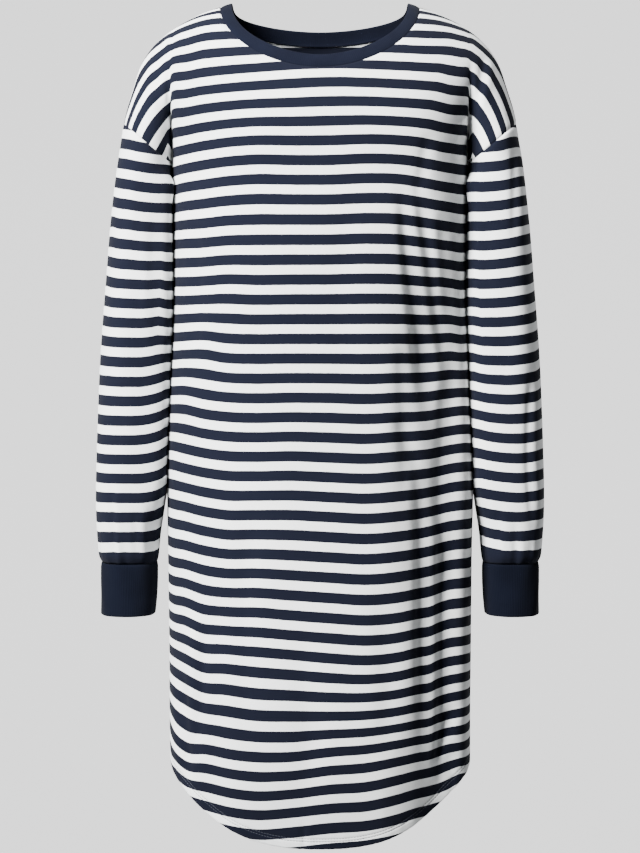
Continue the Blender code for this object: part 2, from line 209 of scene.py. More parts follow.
# Sleeve sections: z, outer half breadth, inner half breadth, middle y, half depth
SLEEVE = np.array([
    (-0.120, 0.2035, 0.1580, 0.000, 0.0660),
    (-0.185, 0.2128, 0.1572, 0.000, 0.0680),
    (-0.230, 0.2182, 0.1560, -0.001, 0.0670),
    (-0.310, 0.2254, 0.1565, -0.004, 0.0630),
    (-0.400, 0.2311, 0.1602, -0.008, 0.0580),
    (-0.480, 0.2343, 0.1634, -0.012, 0.0530),
    (-0.550, 0.2347, 0.1668, -0.015, 0.0450),
    (-0.591, 0.2318, 0.1700, -0.018, 0.0335),
])
SLEEVE_SQUARE = 2.3
CUFF_TOP = {"x": 0.2000, "half": 0.0298, "y": -0.0180, "depth": 0.0310}
CUFF_END = {"x": 0.2018, "half": 0.0284, "y": -0.0200, "depth": 0.0300}
SLEEVE_SETTLE = 0.14
print("length", round(-HEM_Z, 3), "m, breadth over the sleeves", round(2 * SLEEVE[:, 1].max(), 3), "m")

# %% [markdown]
# ## Folds
#
# Light jersey hangs in a few long soft folds from where it is held: from the armholes, and down
# the sides of the body. Cloth simulation would find folds of its own, so the folds are placed from
# measured positions instead. Each is a soft trough with a lower ridge beside it, and no two have
# the same length, depth or spacing.

# %% Folds of the body
# The largest folds are in the solid too: side, x and z at the top, x and z at the end, depth,
# half width
MAIN_FOLDS = [
    ("front", 0.098, -0.21, 0.122, -0.56, 0.0035, 0.013),
    ("front", 0.116, -0.56, 0.117, -0.86, 0.0045, 0.014),
    ("front", -0.105, -0.60, -0.112, -0.84, 0.0030, 0.015),
    ("back", -0.085, -0.24, -0.112, -0.78, 0.0050, 0.017),
    ("back", 0.070, -0.28, 0.100, -0.80, 0.0045, 0.017),
    ("back", 0.000, -0.34, -0.010, -0.82, 0.0040, 0.020),
]
FOLD_START = 0.20
FOLD_END = 0.25
SIDE_FADE = 0.5

# Finer folds, in millimetres: the points that the fold runs through as (x, z), depth, half width,
# and how high the ridge on its right (plus) or left (minus) stands, as a share of the depth. A
# last number, where there is one, says how much wider the fold is on its right.
FINE_FOLDS = {
    "front": [
        (((81, -200), (90, -290), (101, -370), (109, -440)), 6, 6.6, 0.0, 1.7),
        (((98, -200), (110, -270), (119, -330), (135, -410)), 6, 6.2, 0.0, 1.6),
        (((121, -225), (129, -290), (134, -350)), 3, 5.5, 0.0, 1.3),
        (((82, -350), (86, -440), (88, -520)), 3, 9, 0.0, 1.6),
        (((108, -150), (99, -215)), 1.6, 6, 0.3),
        (((78, -435), (100, -490)), 2.6, 10, 0.2),
        (((131, -380), (127, -460), (121, -560)), 5.2, 8, 0.0, 1.8),
        (((99, -470), (103, -560), (104, -660), (106, -780)), 5.2, 6.6, 0.0, 1.5),
        (((125, -510), (126.5, -640), (127, -740), (126.5, -840)), 7, 6.2, -0.3, 1.9),
        (((62, -600), (68, -700), (66, -790)), 2.2, 12, 0.3),
        (((-118, -640), (-121, -700), (-128, -790)), 2.8, 6, -0.8),
        (((-140, -700), (-138, -770), (-136, -815)), 3.4, 5, -0.9),
        (((-70, -520), (-78, -650), (-74, -760)), 2, 13, 0.2),
        (((-130, -220), (-124, -300), (-128, -380)), 2, 8, 0.3),
        (((-20, -640), (-12, -760), (-17, -850)), 1.6, 14, 0.2),
        (((-16.5, -850), (-16.8, -885)), 1.4, 2.2, 0.4),
        (((30, -200), (22, -300), (28, -420)), 1.3, 16, 0.2),
        (((140, -735), (118, -800)), 2.4, 5, 0.5),
    ],
    "back": [
        (((-96, -190), (-104, -270), (-118, -360)), 2.6, 6.5, -0.5),
        (((-62, -215), (-70, -300), (-88, -410)), 2, 7, -0.4),
        (((100, -200), (112, -300), (121, -395)), 2.8, 6.5, 0.5),
        (((79, -240), (83, -300), (94, -370)), 1.8, 6, 0.5),
        (((30, -130), (36, -220), (30, -330)), 1.4, 11, 0.3),
        (((-34, -110), (-40, -190), (-33, -270)), 1.2, 10, -0.3),
        (((-118, -560), (-122, -690), (-126, -800)), 3, 6.5, 0.8),
        (((112, -520), (120, -650), (124, -810)), 2.7, 7, -0.8),
        (((-50, -560), (-46, -690), (-52, -840)), 1.6, 12, 0.3),
        (((47, -610), (53, -720), (49, -830)), 1.3, 11, 0.3),
        (((18, -855), (18.5, -882)), 1.1, 2.4, 0.4),
        (((-140, -240), (-137, -330)), 1.2, 6, 0.4),
    ],
}

# Shares of a fold's length over which it fades in and out, how much of it stands at its very
# ends, and the place and half width of its ridge in half widths of the fold
FADE_LENGTHS = (0.28, 0.34)
FADE_FROM = 0.15
RIDGE_OFF = 1.9
RIDGE_HALF = 1.3

# Creases of the upper arm, on the cap below the shoulder, written in the same way
CAP_FOLDS = {
    "front": [
        (((168, -66), (165, -92), (160, -112), (156, -132)), 2.8, 3.6, 0.5),
        (((-164, -62), (-166.5, -95), (-160, -135)), 1.5, 4.5, -0.4),
    ],
    "back": [
        (((164, -66), (165.5, -98), (159, -132)), 1.4, 4.5, 0.4),
        (((-169, -72), (-166.5, -110), (-158.5, -136)), 1.5, 4.2, -0.4),
    ],
}


def main_fold_depth(x, z, side):
    """How far the solid's own folds draw the cloth in: for each, its depth, times the bell curve
    of the distance across it, times S curves at its two ends."""
    drawn = np.zeros(np.broadcast(x, z).shape)
    for where, x_top, z_top, x_end, z_end, depth, half in MAIN_FOLDS:
        if where == side:
            down = (z - z_top) / (z_end - z_top)
            middle = x_top + (x_end - x_top) * down
            fade = smooth(down / FOLD_START) * smooth((1 + FOLD_END - down) / FOLD_END)
            drawn = drawn + depth * fade * bell(x - middle, half)
    return drawn


def fold_relief(x, z, folds):
    """Height of the fine folds over the plain cloth. Across a fold at distance d the height is
    minus a bell curve of d, plus a lower and wider bell beside it. Along it both fade in and out
    over about a third of its length."""
    height = np.zeros(np.broadcast(x, z).shape)
    for points, depth, half, ridge, *wider in folds:
        xs, zs = np.array(points).T / 1000
        depth, half = depth / 1000, half / 1000
        off = x - eased(z, zs, xs)
        off = np.where(off > 0, off / (wider[0] if wider else 1.0), off)
        down = (z - zs[0]) / (zs[-1] - zs[0])
        fade_in, fade_out = (smooth(share / length + FADE_FROM) for share, length in
                             zip((down, 1 - down), FADE_LENGTHS))
        beside = abs(ridge) * bell(off - np.sign(ridge) * RIDGE_OFF * half, RIDGE_HALF * half)
        height = height + depth * fade_in * fade_out * (beside - bell(off, half))
    return height


# The back's folds are deeper than its table says. And the cloth beside the front's right-hand
# folds lies a little further back: where that begins and ends across the front and down it, and
# how far back.
FOLD_SCALE = {"front": 1.0, "back": 1.6}
SET_BACK = {"x": (0.060, 0.124), "x_end": (0.134, 0.156), "z": (-0.235, -0.400), "depth": 0.0115}


def set_back(x, z):
    """How far back the cloth lies beside the folds: an S curve in across the front, a second one
    out before the side, and one down from the chest."""
    (x_in, x_full), (x_out, x_none), (z_in, z_full) = (SET_BACK[k] for k in ("x", "x_end", "z"))
    across = smooth((x - x_in) / (x_full - x_in)) * smooth((x_none - x) / (x_none - x_out))
    return SET_BACK["depth"] * across * smooth((z_in - z) / (z_in - z_full))


print("fine folds:", {side: len(rows) for side, rows in FINE_FOLDS.items()})

# %% [markdown]
# ## The shape of the body
#
# Below the underarm the body is a rounded-box section that changes slowly with height. Above it
# the cloth curves over to the shoulder seam like a quarter of an ellipse, and past the crease at
# the armhole it lies on the upper arm. These are the solid's formulas, and only the step between
# points is smaller.

# %% Sections of the body
LEVEL_OFF = 0.030


def body_half(z):
    """Half the body's breadth at a height, from the table."""
    return eased(z, BODY[:, 0], BODY[:, 1])


def body_depth(z, side):
    """Depth of a panel at a height, from the table. Near the underarm its slope is eased to none,
    so that it runs on into the yoke without a ridge."""
    column = BODY[:, 2 if side == "front" else 3]
    slope = (column[1] - column[0]) / (BODY[1, 0] - BODY[0, 0])
    below = z - UNDERARM_Z
    return eased(z, BODY[:, 0], column) - slope * below * bell(below, LEVEL_OFF)


def shoulder_z(x):
    """Height of the shoulder line at a breadth, from the table."""
    return eased(np.abs(x), SHOULDER[:, 0], SHOULDER[:, 1])


def upper_depth(x, z, side):
    """Depth of the yoke before it rounds off: at the underarm the body's section up to the crease
    and the arm's past it, and above the crease's top one broad shoulder, with an S curve between."""
    x = np.abs(x)
    depth = body_depth(UNDERARM_Z, side)
    body = depth * rounded(np.minimum(x / body_half(UNDERARM_Z), 1.0), BODY_SQUARE)
    at_crease = depth * rounded(CREASE_X / body_half(UNDERARM_Z), BODY_SQUARE)
    arm = ARM_DEPTH[side] * rounded(np.clip((x - ARM_X) / ARM_HALF, -1, 1), ARM_SQUARE)
    arm_at_crease = ARM_DEPTH[side] * rounded((CREASE_X - ARM_X) / ARM_HALF, ARM_SQUARE)
    arm = arm + (at_crease - arm_at_crease) * np.exp(-(x - CREASE_X) / VALLEY)
    low = np.where(x <= CREASE_X, body, arm)
    broad = depth * rounded(x / SHOULDER_SPAN, SHOULDER_SQUARE)
    rise = smooth((z - UNDERARM_Z) / (CREASE_TOP_Z - UNDERARM_Z))
    return low + (broad - low) * rise


def neckline_z(x, side):
    """Height of the neckline at a breadth: a drop from the neck point with a rounded bottom."""
    return NECK_POINT_Z - NECK_DROP[side] * rounded(x / NECK_HALF, NECK_ROUND[side])


def upper_points(x_low, z_low, x_high, z_high, rows, side):
    """Columns of points from a lower to an upper end, each a stretch of a quarter ellipse that
    stands on the underarm level and meets the shoulder line. x changes with the third power of
    the share, height is the sine of the angle and depth its cosine."""
    share = np.linspace(0, 1, rows + 1)[:, None]
    x = x_low + (x_high - x_low) * share ** 3
    start = np.arcsin(np.clip((z_low - UNDERARM_Z) / (shoulder_z(x_low) - UNDERARM_Z), 0, 1))
    end = np.arcsin(np.clip((z_high - UNDERARM_Z) / (shoulder_z(x_high) - UNDERARM_Z), 0, 1))
    angle = start + (end - start) * share
    z = UNDERARM_Z + (shoulder_z(x) - UNDERARM_Z) * np.sin(angle)
    y = FACING[side] * np.maximum(upper_depth(x, z, side) * np.cos(angle), 0.0)
    return np.stack([x, y, z], axis=-1)


def neckline_points(x, side):
    """Points of a panel's neckline at given breadths."""
    z = np.where(np.abs(x) < NECK_HALF - 1e-9, neckline_z(x, side), shoulder_z(x))
    return upper_points(x, z, x, z, 1, side)[-1]


def neck_breadths(side, steps):
    """Half breadths that part half of the neckline into equal lengths, middle first."""
    x = NECK_HALF * np.sin(np.linspace(0, math.pi / 2, 600))
    return np.interp(np.linspace(0, 1, steps + 1), share_along(neckline_points(x, side)), x)


# %% [markdown]
# ## Grids of points
#
# A panel has two grids. The lower one runs from the hem to the underarm and from side seam to
# side seam. The upper one runs from there to the neckline and the shoulder seam, and past the
# crease it ends at the slanting seam of the dropped shoulder. Rows are closer together at the
# hem, because the turned edge and its stitching are small.

# %% Columns and rows
GRID_STEP = {"front": 0.0031, "back": 0.0036}
CAP_STEPS = {"front": 24, "back": 20}
YOKE_LENGTH = 0.20
STEEPEST_HEM = 2.4
LOW_TURN_X = (0.128, 0.134, 0.140, 0.1465, 0.153)
HIGH_TURN_X = (NECK_HALF, 0.116, 0.1285, 0.141, 0.153)
HEM_STEPS = np.array([0.0, 0.0006, 0.0015, 0.0030, 0.0045, 0.0060, 0.0075, 0.0084, 0.0090,
                      0.0096, 0.0105, 0.0114, 0.0120, 0.0126, 0.0138, 0.0155])


def evenly(x_start, x_end, step, side):
    """Breadths between two columns whose points are about one step apart on the underarm line."""
    x = np.linspace(x_start, x_end, 300)
    y = body_depth(UNDERARM_Z, side) * rounded(x / body_half(UNDERARM_Z), BODY_SQUARE)
    line = np.stack([x, y], axis=-1)
    count = max(2, int(round(step_lengths(line).sum() / step)))
    return np.interp(np.linspace(0, 1, count + 1), share_along(line), x)


def columns_of(side):
    """Half breadths of the body's columns at the underarm and at the top, from the middle out."""
    step = GRID_STEP[side]
    neck_low = np.linspace(0, LOW_TURN_X[0], int(round(1.06 * LOW_TURN_X[0] / step)) + 1)
    neck_high = neck_breadths(side, len(neck_low) - 1)
    outer_low = evenly(LOW_TURN_X[0], CREASE_X, step, side)[1:]
    outer_high = np.interp(outer_low, LOW_TURN_X, HIGH_TURN_X)
    return np.concatenate([neck_low, outer_low]), np.concatenate([neck_high, outer_high])


def both_halves(half, sign=-1.0):
    """A row from one side to the other, out of the values from the middle outwards."""
    return np.concatenate([sign * half[:0:-1], half])


def hem_line(across, depth_share):
    """The hem's height at a column: it rises towards the sides and a little more round them."""
    crease_share = rounded(CREASE_X / body_half(UNDERARM_Z), BODY_SQUARE)
    round_side = 1 - np.clip(depth_share / crease_share, 0, 1)
    return HEM_Z + HEM_RISE * np.abs(across) ** HEM_RISE_POWER + HEM_SIDE_RISE * round_side


def lower_grid(side):
    """The body below the underarm as rows from the hem upwards, and each point's distance from
    the hem's edge. A step along the cloth at a slanting hem is a longer step in height."""
    step = GRID_STEP[side]
    half = columns_of(side)[0] / body_half(UNDERARM_Z)
    start = rounded(CREASE_X / body_half(UNDERARM_Z), BODY_SQUARE)
    side_steps = int(round(start * body_depth(UNDERARM_Z, side) / step))
    side_deep = start * np.linspace(1, 0, side_steps + 1)[1:]
    across = both_halves(np.concatenate([half, rounded(side_deep, BODY_SQUARE)]))
    deep = both_halves(np.concatenate([rounded(half, BODY_SQUARE), side_deep]), 1.0)
    edge = hem_line(across, deep)
    ring = np.stack([body_half(edge) * across, body_depth(edge, side) * deep], axis=-1)
    stretch = np.clip(np.sqrt(1 + np.gradient(edge, distance_along(ring)) ** 2), 1.0, STEEPEST_HEM)
    near = edge + HEM_STEPS[:, None] * stretch
    rows = int(round((UNDERARM_Z - HEM_Z) / step))
    far = near[-1] + (UNDERARM_Z - near[-1]) * np.linspace(0, 1, rows + 1)[1:, None]
    z = np.concatenate([near, far])
    x = body_half(z) * across
    drawn = main_fold_depth(x, z, side) * smooth(deep / SIDE_FADE)
    y = np.maximum(body_depth(z, side) * deep - drawn, 0.0)
    return np.stack([x, FACING[side] * y, z], axis=-1), (z - edge) / stretch, np.broadcast_to(deep, z.shape)


def armhole_z(x):
    """Height of the dropped shoulder's seam, a slanting line in the front view."""
    slope = (SHOULDER_TIP_Z - UNDERARM_Z) / (SHOULDER_TIP_X - CREASE_X)
    return UNDERARM_Z + slope * (np.abs(x) - CREASE_X)


def upper_grid(side):
    """The yoke and the two caps as one grid, rows upwards and columns from left to right."""
    low, high = columns_of(side)
    cap = np.sin(np.linspace(0, math.pi / 2, CAP_STEPS[side] + 1))[1:]
    cap_x = CREASE_X + (SHOULDER_TIP_X - CREASE_X) * cap
    x_low = both_halves(np.concatenate([low, cap_x]))
    x_high = both_halves(np.concatenate([high, cap_x]))
    in_neck = np.abs(x_high) < NECK_HALF - 1e-9
    z_low = np.where(np.abs(x_low) > CREASE_X, armhole_z(x_low), UNDERARM_Z)
    z_high = np.where(in_neck, neckline_z(x_high, side), shoulder_z(x_high))
    rows = int(round(YOKE_LENGTH / GRID_STEP[side]))
    return upper_points(x_low, z_low, x_high, z_high, rows, side)


# %% [markdown]
# ## Where the stripes run
#
# The stripe is knitted into the jersey, so it follows the cloth and not the height. A stripe
# number is worked out for each point: the distance down the cloth over the width of one repeat,
# plus a lift from a short table that says how far the folds and the drape carry the stripes up
# or down there. The number is kept in a UV map, and the material turns whole numbers navy.

# %% Stripe numbers of the panels
STRIPE_REPEAT = 0.02005
STRIPE_START = {"front": 0.0775, "back": 0.0541}

# Lift of the front's stripes in mm: z, then at these breadths
FRONT_LIFT_X = np.array([-0.159, -0.152, -0.140, -0.118, -0.095, -0.065, -0.030, 0.010, 0.050,
                         0.080, 0.100, 0.1125, 0.1195, 0.132, 0.145, 0.153, 0.159])
FRONT_LIFT = np.array([
    (-0.028, -4.1, -2.1, -1.8, 0.0, -0.5, -1.9, -2.6, -2.6,
     -2.3, -1.7, -0.4, 0.4, 0.8, 0.2, -0.8, -1.8, -2.6),
    (-0.055, -6.5, -10.7, -10.9, -6.5, -5.1, -3.9, -2.3, -1.4,
     -1.5, -2.1, -2.9, -2.8, -2.5, -1.8, -2.6, -0.7, 1.0),
    (-0.085, -7.8, -9.7, -12.0, -9.4, -7.1, -4.6, -1.8, -0.2,
     -0.9, -2.3, -3.5, -4.2, -4.4, -6.4, -6.1, -2.5, -0.4),
    (-0.120, -7.6, -6.6, -8.7, -7.0, -4.9, -3.1, -2.0, -0.7,
     -0.5, -1.5, -2.5, -3.3, -4.5, -6.3, -4.7, -1.9, -1.1),
    (-0.160, -7.5, -7.0, -6.3, -3.7, -1.3, 0.4, -0.2, 0.0,
     1.4, 0.8, -0.8, -2.6, -3.9, -5.0, -5.0, -3.6, -0.9),
    (-0.205, -5.9, -5.3, -3.9, -2.0, 0.3, 1.8, 1.2, 1.1,
     2.7, 2.2, -0.5, -2.4, -3.3, -4.6, -5.1, -3.8, 0.1),
    (-0.255, -3.1, -1.4, -1.1, -0.9, 0.8, 1.2, 1.2, 1.3,
     2.4, 1.7, -0.2, -1.6, -2.5, -3.8, -4.7, -2.9, 0.2),
    (-0.310, 0.8, 1.4, 1.2, 1.8, 2.9, 1.8, 2.1, 2.3,
     2.9, 2.5, 1.2, 0.5, 0.9, -0.3, -2.0, -0.8, 1.6),
    (-0.365, 5.1, 4.8, 6.0, 7.2, 3.8, 3.0, 3.3, 3.2,
     3.1, 3.4, 3.3, 3.5, 3.9, 4.8, 3.0, 3.4, 4.2),
    (-0.420, 8.9, 10.0, 11.0, 7.3, 4.8, 3.9, 4.7, 4.3,
     3.3, 4.5, 4.7, 5.5, 6.6, 8.0, 8.6, 7.7, 6.1),
    (-0.475, 12.3, 13.0, 11.4, 8.1, 5.7, 5.4, 6.3, 4.9,
     3.6, 5.5, 6.6, 7.3, 8.5, 10.8, 11.5, 10.9, 9.3),
    (-0.530, 13.2, 13.0, 12.3, 8.7, 6.2, 6.8, 7.2, 5.3,
     3.5, 5.4, 7.4, 9.0, 10.1, 12.3, 12.7, 12.0, 11.1),
    (-0.585, 13.3, 12.8, 12.9, 9.2, 7.0, 8.0, 6.8, 4.5,
     2.5, 4.5, 7.0, 8.5, 10.0, 12.6, 12.5, 11.4, 10.6),
    (-0.640, 15.7, 14.6, 14.7, 8.7, 8.2, 8.6, 6.2, 3.3,
     0.9, 2.8, 5.9, 6.4, 8.8, 12.2, 11.5, 10.6, 9.4),
    (-0.690, 19.8, 18.9, 15.9, 8.9, 9.7, 8.1, 6.1, 2.8,
     0.8, 3.3, 7.1, 7.8, 10.6, 13.6, 12.9, 11.6, 10.2),
    (-0.735, 21.4, 16.3, 12.3, 6.6, 5.8, 3.4, 3.2, 3.1,
     4.0, 7.1, 10.3, 10.5, 13.5, 16.8, 16.5, 15.3, 15.1),
    (-0.775, 18.0, 9.2, 2.9, 3.0, 1.0, -0.6, 0.0, 5.1,
     8.3, 12.9, 16.0, 16.3, 18.4, 21.6, 20.7, 19.9, 21.0),
    (-0.810, 14.3, 11.4, 4.3, 2.0, -0.8, -3.0, -0.8, 4.6,
     7.5, 13.3, 17.5, 18.3, 19.3, 23.4, 26.8, 25.1, 25.1),
    (-0.845, 14.4, 13.1, 8.6, 1.0, -3.1, -5.5, -2.6, 1.9,
     4.2, 9.9, 15.1, 16.2, 17.8, 20.8, 27.9, 30.0, 30.9),
    (-0.882, 15.6, 13.9, 9.9, 1.7, -4.4, -9.7, -8.0, -3.9,
     -0.4, 4.4, 9.8, 13.4, 15.9, 21.5, 28.9, 33.9, 37.4),
])
BACK_LIFT_X = np.array([-0.159, -0.125, -0.070, 0.0, 0.070, 0.125, 0.159])
BACK_LIFT = np.array([
    (-0.040, -6.0, -5.0, -1.5, -0.4, -1.2, -6.0, -6.0),
    (-0.100, -6.0, -5.5, -2.5, 0.0, -2.0, -5.0, -6.0),
    (-0.180, -4.5, -3.5, -0.5, 0.3, -0.2, -3.5, -4.5),
    (-0.280, -1.0, -0.5, 0.8, 1.0, 1.6, -1.0, -1.0),
    (-0.400, 10.0, 6.0, 2.4, 2.2, 3.6, 6.5, 10.0),
    (-0.520, 17.0, 9.6, 4.4, 2.6, 4.0, 10.2, 15.5),
    (-0.640, 20.0, 11.4, 5.6, 2.2, 3.4, 11.8, 17.0),
    (-0.755, 19.0, 9.5, 3.2, 3.0, 6.5, 14.5, 20.0),
    (-0.875, 15.0, 6.0, -0.5, 1.5, 6.0, 17.0, 24.0),
])


def on_table(x, z, breadths, rows):
    """A smooth surface through a table: cubics down each column, then cubics across them."""
    down = np.stack([eased(z, rows[:, 0], rows[:, k]) for k in range(1, rows.shape[1])])
    slopes = np.gradient(down, breadths, axis=0)
    x = np.clip(x, breadths[0], breadths[-1])
    i = np.clip(np.searchsorted(breadths, x) - 1, 0, len(breadths) - 2)
    span = breadths[i + 1] - breadths[i]
    ends = [np.take_along_axis(values, k[None], axis=0)[0]
            for values in (down, slopes) for k in (i, i + 1)]
    return cubic((x - breadths[i]) / span, span, *ends)


def lift(x, z, side):
    """How far the stripes are carried down the cloth at a point, in metres."""
    x, z = np.broadcast_arrays(x, z)
    table = (FRONT_LIFT_X, FRONT_LIFT) if side == "front" else (BACK_LIFT_X, BACK_LIFT)
    return 0.001 * on_table(x, z, *table)


# On the upper arm the stripes run slantwise. On its front the stripe number is a quadratic in
# three distances from the middle of the cap: outwards, upwards and the depth from the shoulder
# seam. The terms are: 1, out, up, deep, out^2, out*up, up^2, out*deep, up*deep, deep^2
CAP_STRIPE = {
    -1.0: (-1.702, -2.875, -2.523, -1.685, -0.101, 0.621, -0.258, 1.820, 0.789, 1.658),
    1.0: (-1.441, -1.849, -2.160, -0.494, -0.722, 0.131, -0.318, 0.055, 0.397, 0.294),
}

# Round the arm's outer side and on the back the number follows the length of cloth from the
# shoulder seam instead. The terms are: 1, round, up, round*up, up^2
CAP_ROUND = {
    -1.0: (-3.994, 1.633, -0.101, -0.597, -0.415),
    1.0: (-3.722, 1.639, 0.179, -0.566, -0.496),
}

# Where the terms are zero, the distances that count as one in them, the power of the norm, and
# the depth from which, and over which, the front's quadratic takes over
CAP_MIDDLE = {"x": 0.178, "z": -0.10}
CAP_UNIT = {"out": 0.03, "up": 0.05, "deep": 0.06, "round": 0.05}
CAP_BEND = 1.53
CAP_BLEND = (0.022, 0.030)


def cap_stripe(points, hand, side):
    """Stripe number on one upper arm: the quadratic on its front, and on the outer side and the
    back the sum of five terms of the length round the arm, which is the 1.53 norm of the depth
    and the distance in from the shoulder line."""
    x, y, z = np.abs(points[..., 0]), np.abs(points[..., 1]), points[..., 2]
    out = (x - CAP_MIDDLE["x"]) / CAP_UNIT["out"]
    up = (z - CAP_MIDDLE["z"]) / CAP_UNIT["up"]
    deep = y / CAP_UNIT["deep"]
    terms = (1.0, out, up, deep, out * out, out * up, up * up, out * deep, up * deep, deep * deep)
    front = sum(number * term for number, term in zip(CAP_STRIPE[hand], terms))
    slope = (shoulder_z(x + 0.001) - shoulder_z(x - 0.001)) / 0.002
    inwards = np.maximum(shoulder_z(x) - z, 0.0) / np.sqrt(1 + slope ** 2)
    length = (y ** CAP_BEND + inwards ** CAP_BEND) ** (1 / CAP_BEND) / CAP_UNIT["round"]
    terms = (1.0, length, up, length * up, up * up)
    beside = sum(number * term for number, term in zip(CAP_ROUND[hand], terms))
    if side == "back":
        return beside
    return beside + (front - beside) * smooth((y - CAP_BLEND[0]) / CAP_BLEND[1])


def upper_arc(x, z, side):
    """Length of the cloth from the underarm level up to a point, at a fixed breadth: a table of
    the quarter ellipse's length over breadth and angle, read in between."""
    breadths = np.linspace(0, SHOULDER_TIP_X, 90)
    angles = np.linspace(0, math.pi / 2, 160)
    top = shoulder_z(breadths)[None, :] - UNDERARM_Z
    level = UNDERARM_Z + top * np.sin(angles)[:, None]
    depth = upper_depth(breadths[None, :], level, side) * np.cos(angles)[:, None]
    steps = np.hypot(np.diff(level, axis=0), np.diff(depth, axis=0))
    arcs = np.concatenate([np.zeros((1, len(breadths))), np.cumsum(steps, axis=0)])
    top_here = shoulder_z(x) - UNDERARM_Z
    angle = np.arcsin(np.clip((z - UNDERARM_Z) / top_here, 0, 1))
    i = np.clip(np.abs(x) / breadths[1], 0, len(breadths) - 1.001)
    j = np.clip(angle / angles[1], 0, len(angles) - 1.001)
    i0, j0 = i.astype(int), j.astype(int)
    fi, fj = i - i0, j - j0
    low = arcs[j0, i0] * (1 - fi) + arcs[j0, i0 + 1] * fi
    high = arcs[j0 + 1, i0] * (1 - fi) + arcs[j0 + 1, i0 + 1] * fi
    return low * (1 - fj) + high * fj


# Where the body's stripes give way to the upper arm's: within a narrow strip along the crease,
# and above this height, over this rise, within a wider one
MEETING = {"z": -0.075, "rise": 0.030, "width": 0.0009, "wider": 0.0120}


def upper_stripes(points, side):
    """Stripe number over the yoke and the caps. Above the crease the two run on into each other
    over two and a half centimetres, and along the crease they meet within two millimetres."""
    x, z = points[..., 0], points[..., 2]
    body = (lift(x, z, side) + STRIPE_START[side] - upper_arc(x, z, side)) / STRIPE_REPEAT
    above = smooth((z - MEETING["z"]) / MEETING["rise"])
    width = MEETING["width"] + MEETING["wider"] * above
    middle = CREASE_X - 0.0010 + 0.002 * above
    onto_cap = smooth(0.5 + (np.abs(x) - middle) / (2 * width))
    on_cap = np.where(x < 0, cap_stripe(points, -1.0, side), cap_stripe(points, 1.0, side))
    return body + (on_cap - body) * onto_cap


def lower_stripes(points, side):
    """Stripe number below the underarm: the cloth's length down each column, plus the lift."""
    steps = np.hypot(np.diff(points[..., 1], axis=0), np.diff(points[..., 2], axis=0))
    from_hem = np.concatenate([np.zeros((1, points.shape[1])), np.cumsum(steps, axis=0)])
    down = from_hem[-1] - from_hem
    return (down + lift(points[..., 0], points[..., 2], side) + STRIPE_START[side]) / STRIPE_REPEAT


# %% [markdown]
# ## From grids to cloth
#
# A cloth wall is its outer grid, a copy moved inwards by the cloth's thickness, and a rim along
# each open edge. Working both layers out here keeps the thickness free to change, which the
# turned hem needs. Two UV maps go with it: one holds the stripe number and one holds metres
# along and down the cloth for the knit.

# %% Meshes
def cells_of(index):
    """The four corner numbers of every cell of a grid of point numbers."""
    near, far = index[..., :-1, :], index[..., 1:, :]
    corners = (near[..., :-1], near[..., 1:], far[..., 1:], far[..., :-1])
    return np.stack(corners, axis=-1).reshape(-1, 4)


def ring_cells(index):
    """The same for a grid whose last column meets its first."""
    return cells_of(np.concatenate([index, index[..., :1]], axis=-1))


def cell_directions(points, cells):
    """The cross product of each cell's diagonals, which is square to the cell."""
    first, second, third, fourth = (points[cells[:, k]] for k in range(4))
    return np.cross(third - first, fourth - second)


def point_normals(points, cells):
    """Direction of the surface at each point: the sum of its cells' directions."""
    across = cell_directions(points, cells)
    total = np.zeros_like(points)
    for k in range(4):
        np.add.at(total, cells[:, k], across)
    return unit(total)


def facing_out(points, cells, outwards):
    """The cells, turned round if on the whole they look against the given directions."""
    looks_out = (cell_directions(points, cells) * outwards[cells[:, 0]]).sum() > 0
    return cells if looks_out else cells[:, ::-1]


def away_from(points, x, y):
    """Level directions from an upright line at x and y to each point."""
    return np.concatenate([points[:, :2] - np.array([x, y]), np.zeros((len(points), 1))], axis=1)


def folded_cells(index, points, looks):
    """Cells of a strip folded lengthwise into a ring: those of its grid, and a closing strip from
    its first to its last row, turned so that its edges run against those of the cells beside it."""
    cells = facing_out(points, ring_cells(index), looks)
    ends = np.stack([index[0], np.roll(index[0], -1), np.roll(index[-1], -1), index[-1]], axis=-1)
    count = int(cells.max()) + 1
    keys = set((cells * count + np.roll(cells, -1, axis=1)).ravel().tolist())
    same_way = int(ends[0, 0] * count + ends[0, 1]) in keys
    return np.concatenate([cells, ends[:, ::-1] if same_way else ends])


def open_edges(cells):
    """Edges that belong to one cell only, in that cell's direction."""
    count = int(cells.max()) + 1
    starts = cells.ravel()
    ends = np.roll(cells, -1, axis=1).ravel()
    keys = starts.astype(np.int64) * count + ends
    back = ends.astype(np.int64) * count + starts
    lone = ~np.isin(keys, back)
    return np.stack([starts[lone], ends[lone]], axis=-1)


def wall_of(points, cells, normals, thickness):
    """Two layers and the rims between them. The layers are as far apart as the thickness says."""
    inner = points - normals * np.broadcast_to(thickness, len(points))[:, None]
    count = len(points)
    edges = open_edges(cells)
    rims = np.stack([edges[:, 1], edges[:, 0], edges[:, 0] + count, edges[:, 1] + count], axis=-1)
    return np.concatenate([points, inner]), np.concatenate([cells, cells[:, ::-1] + count, rims])


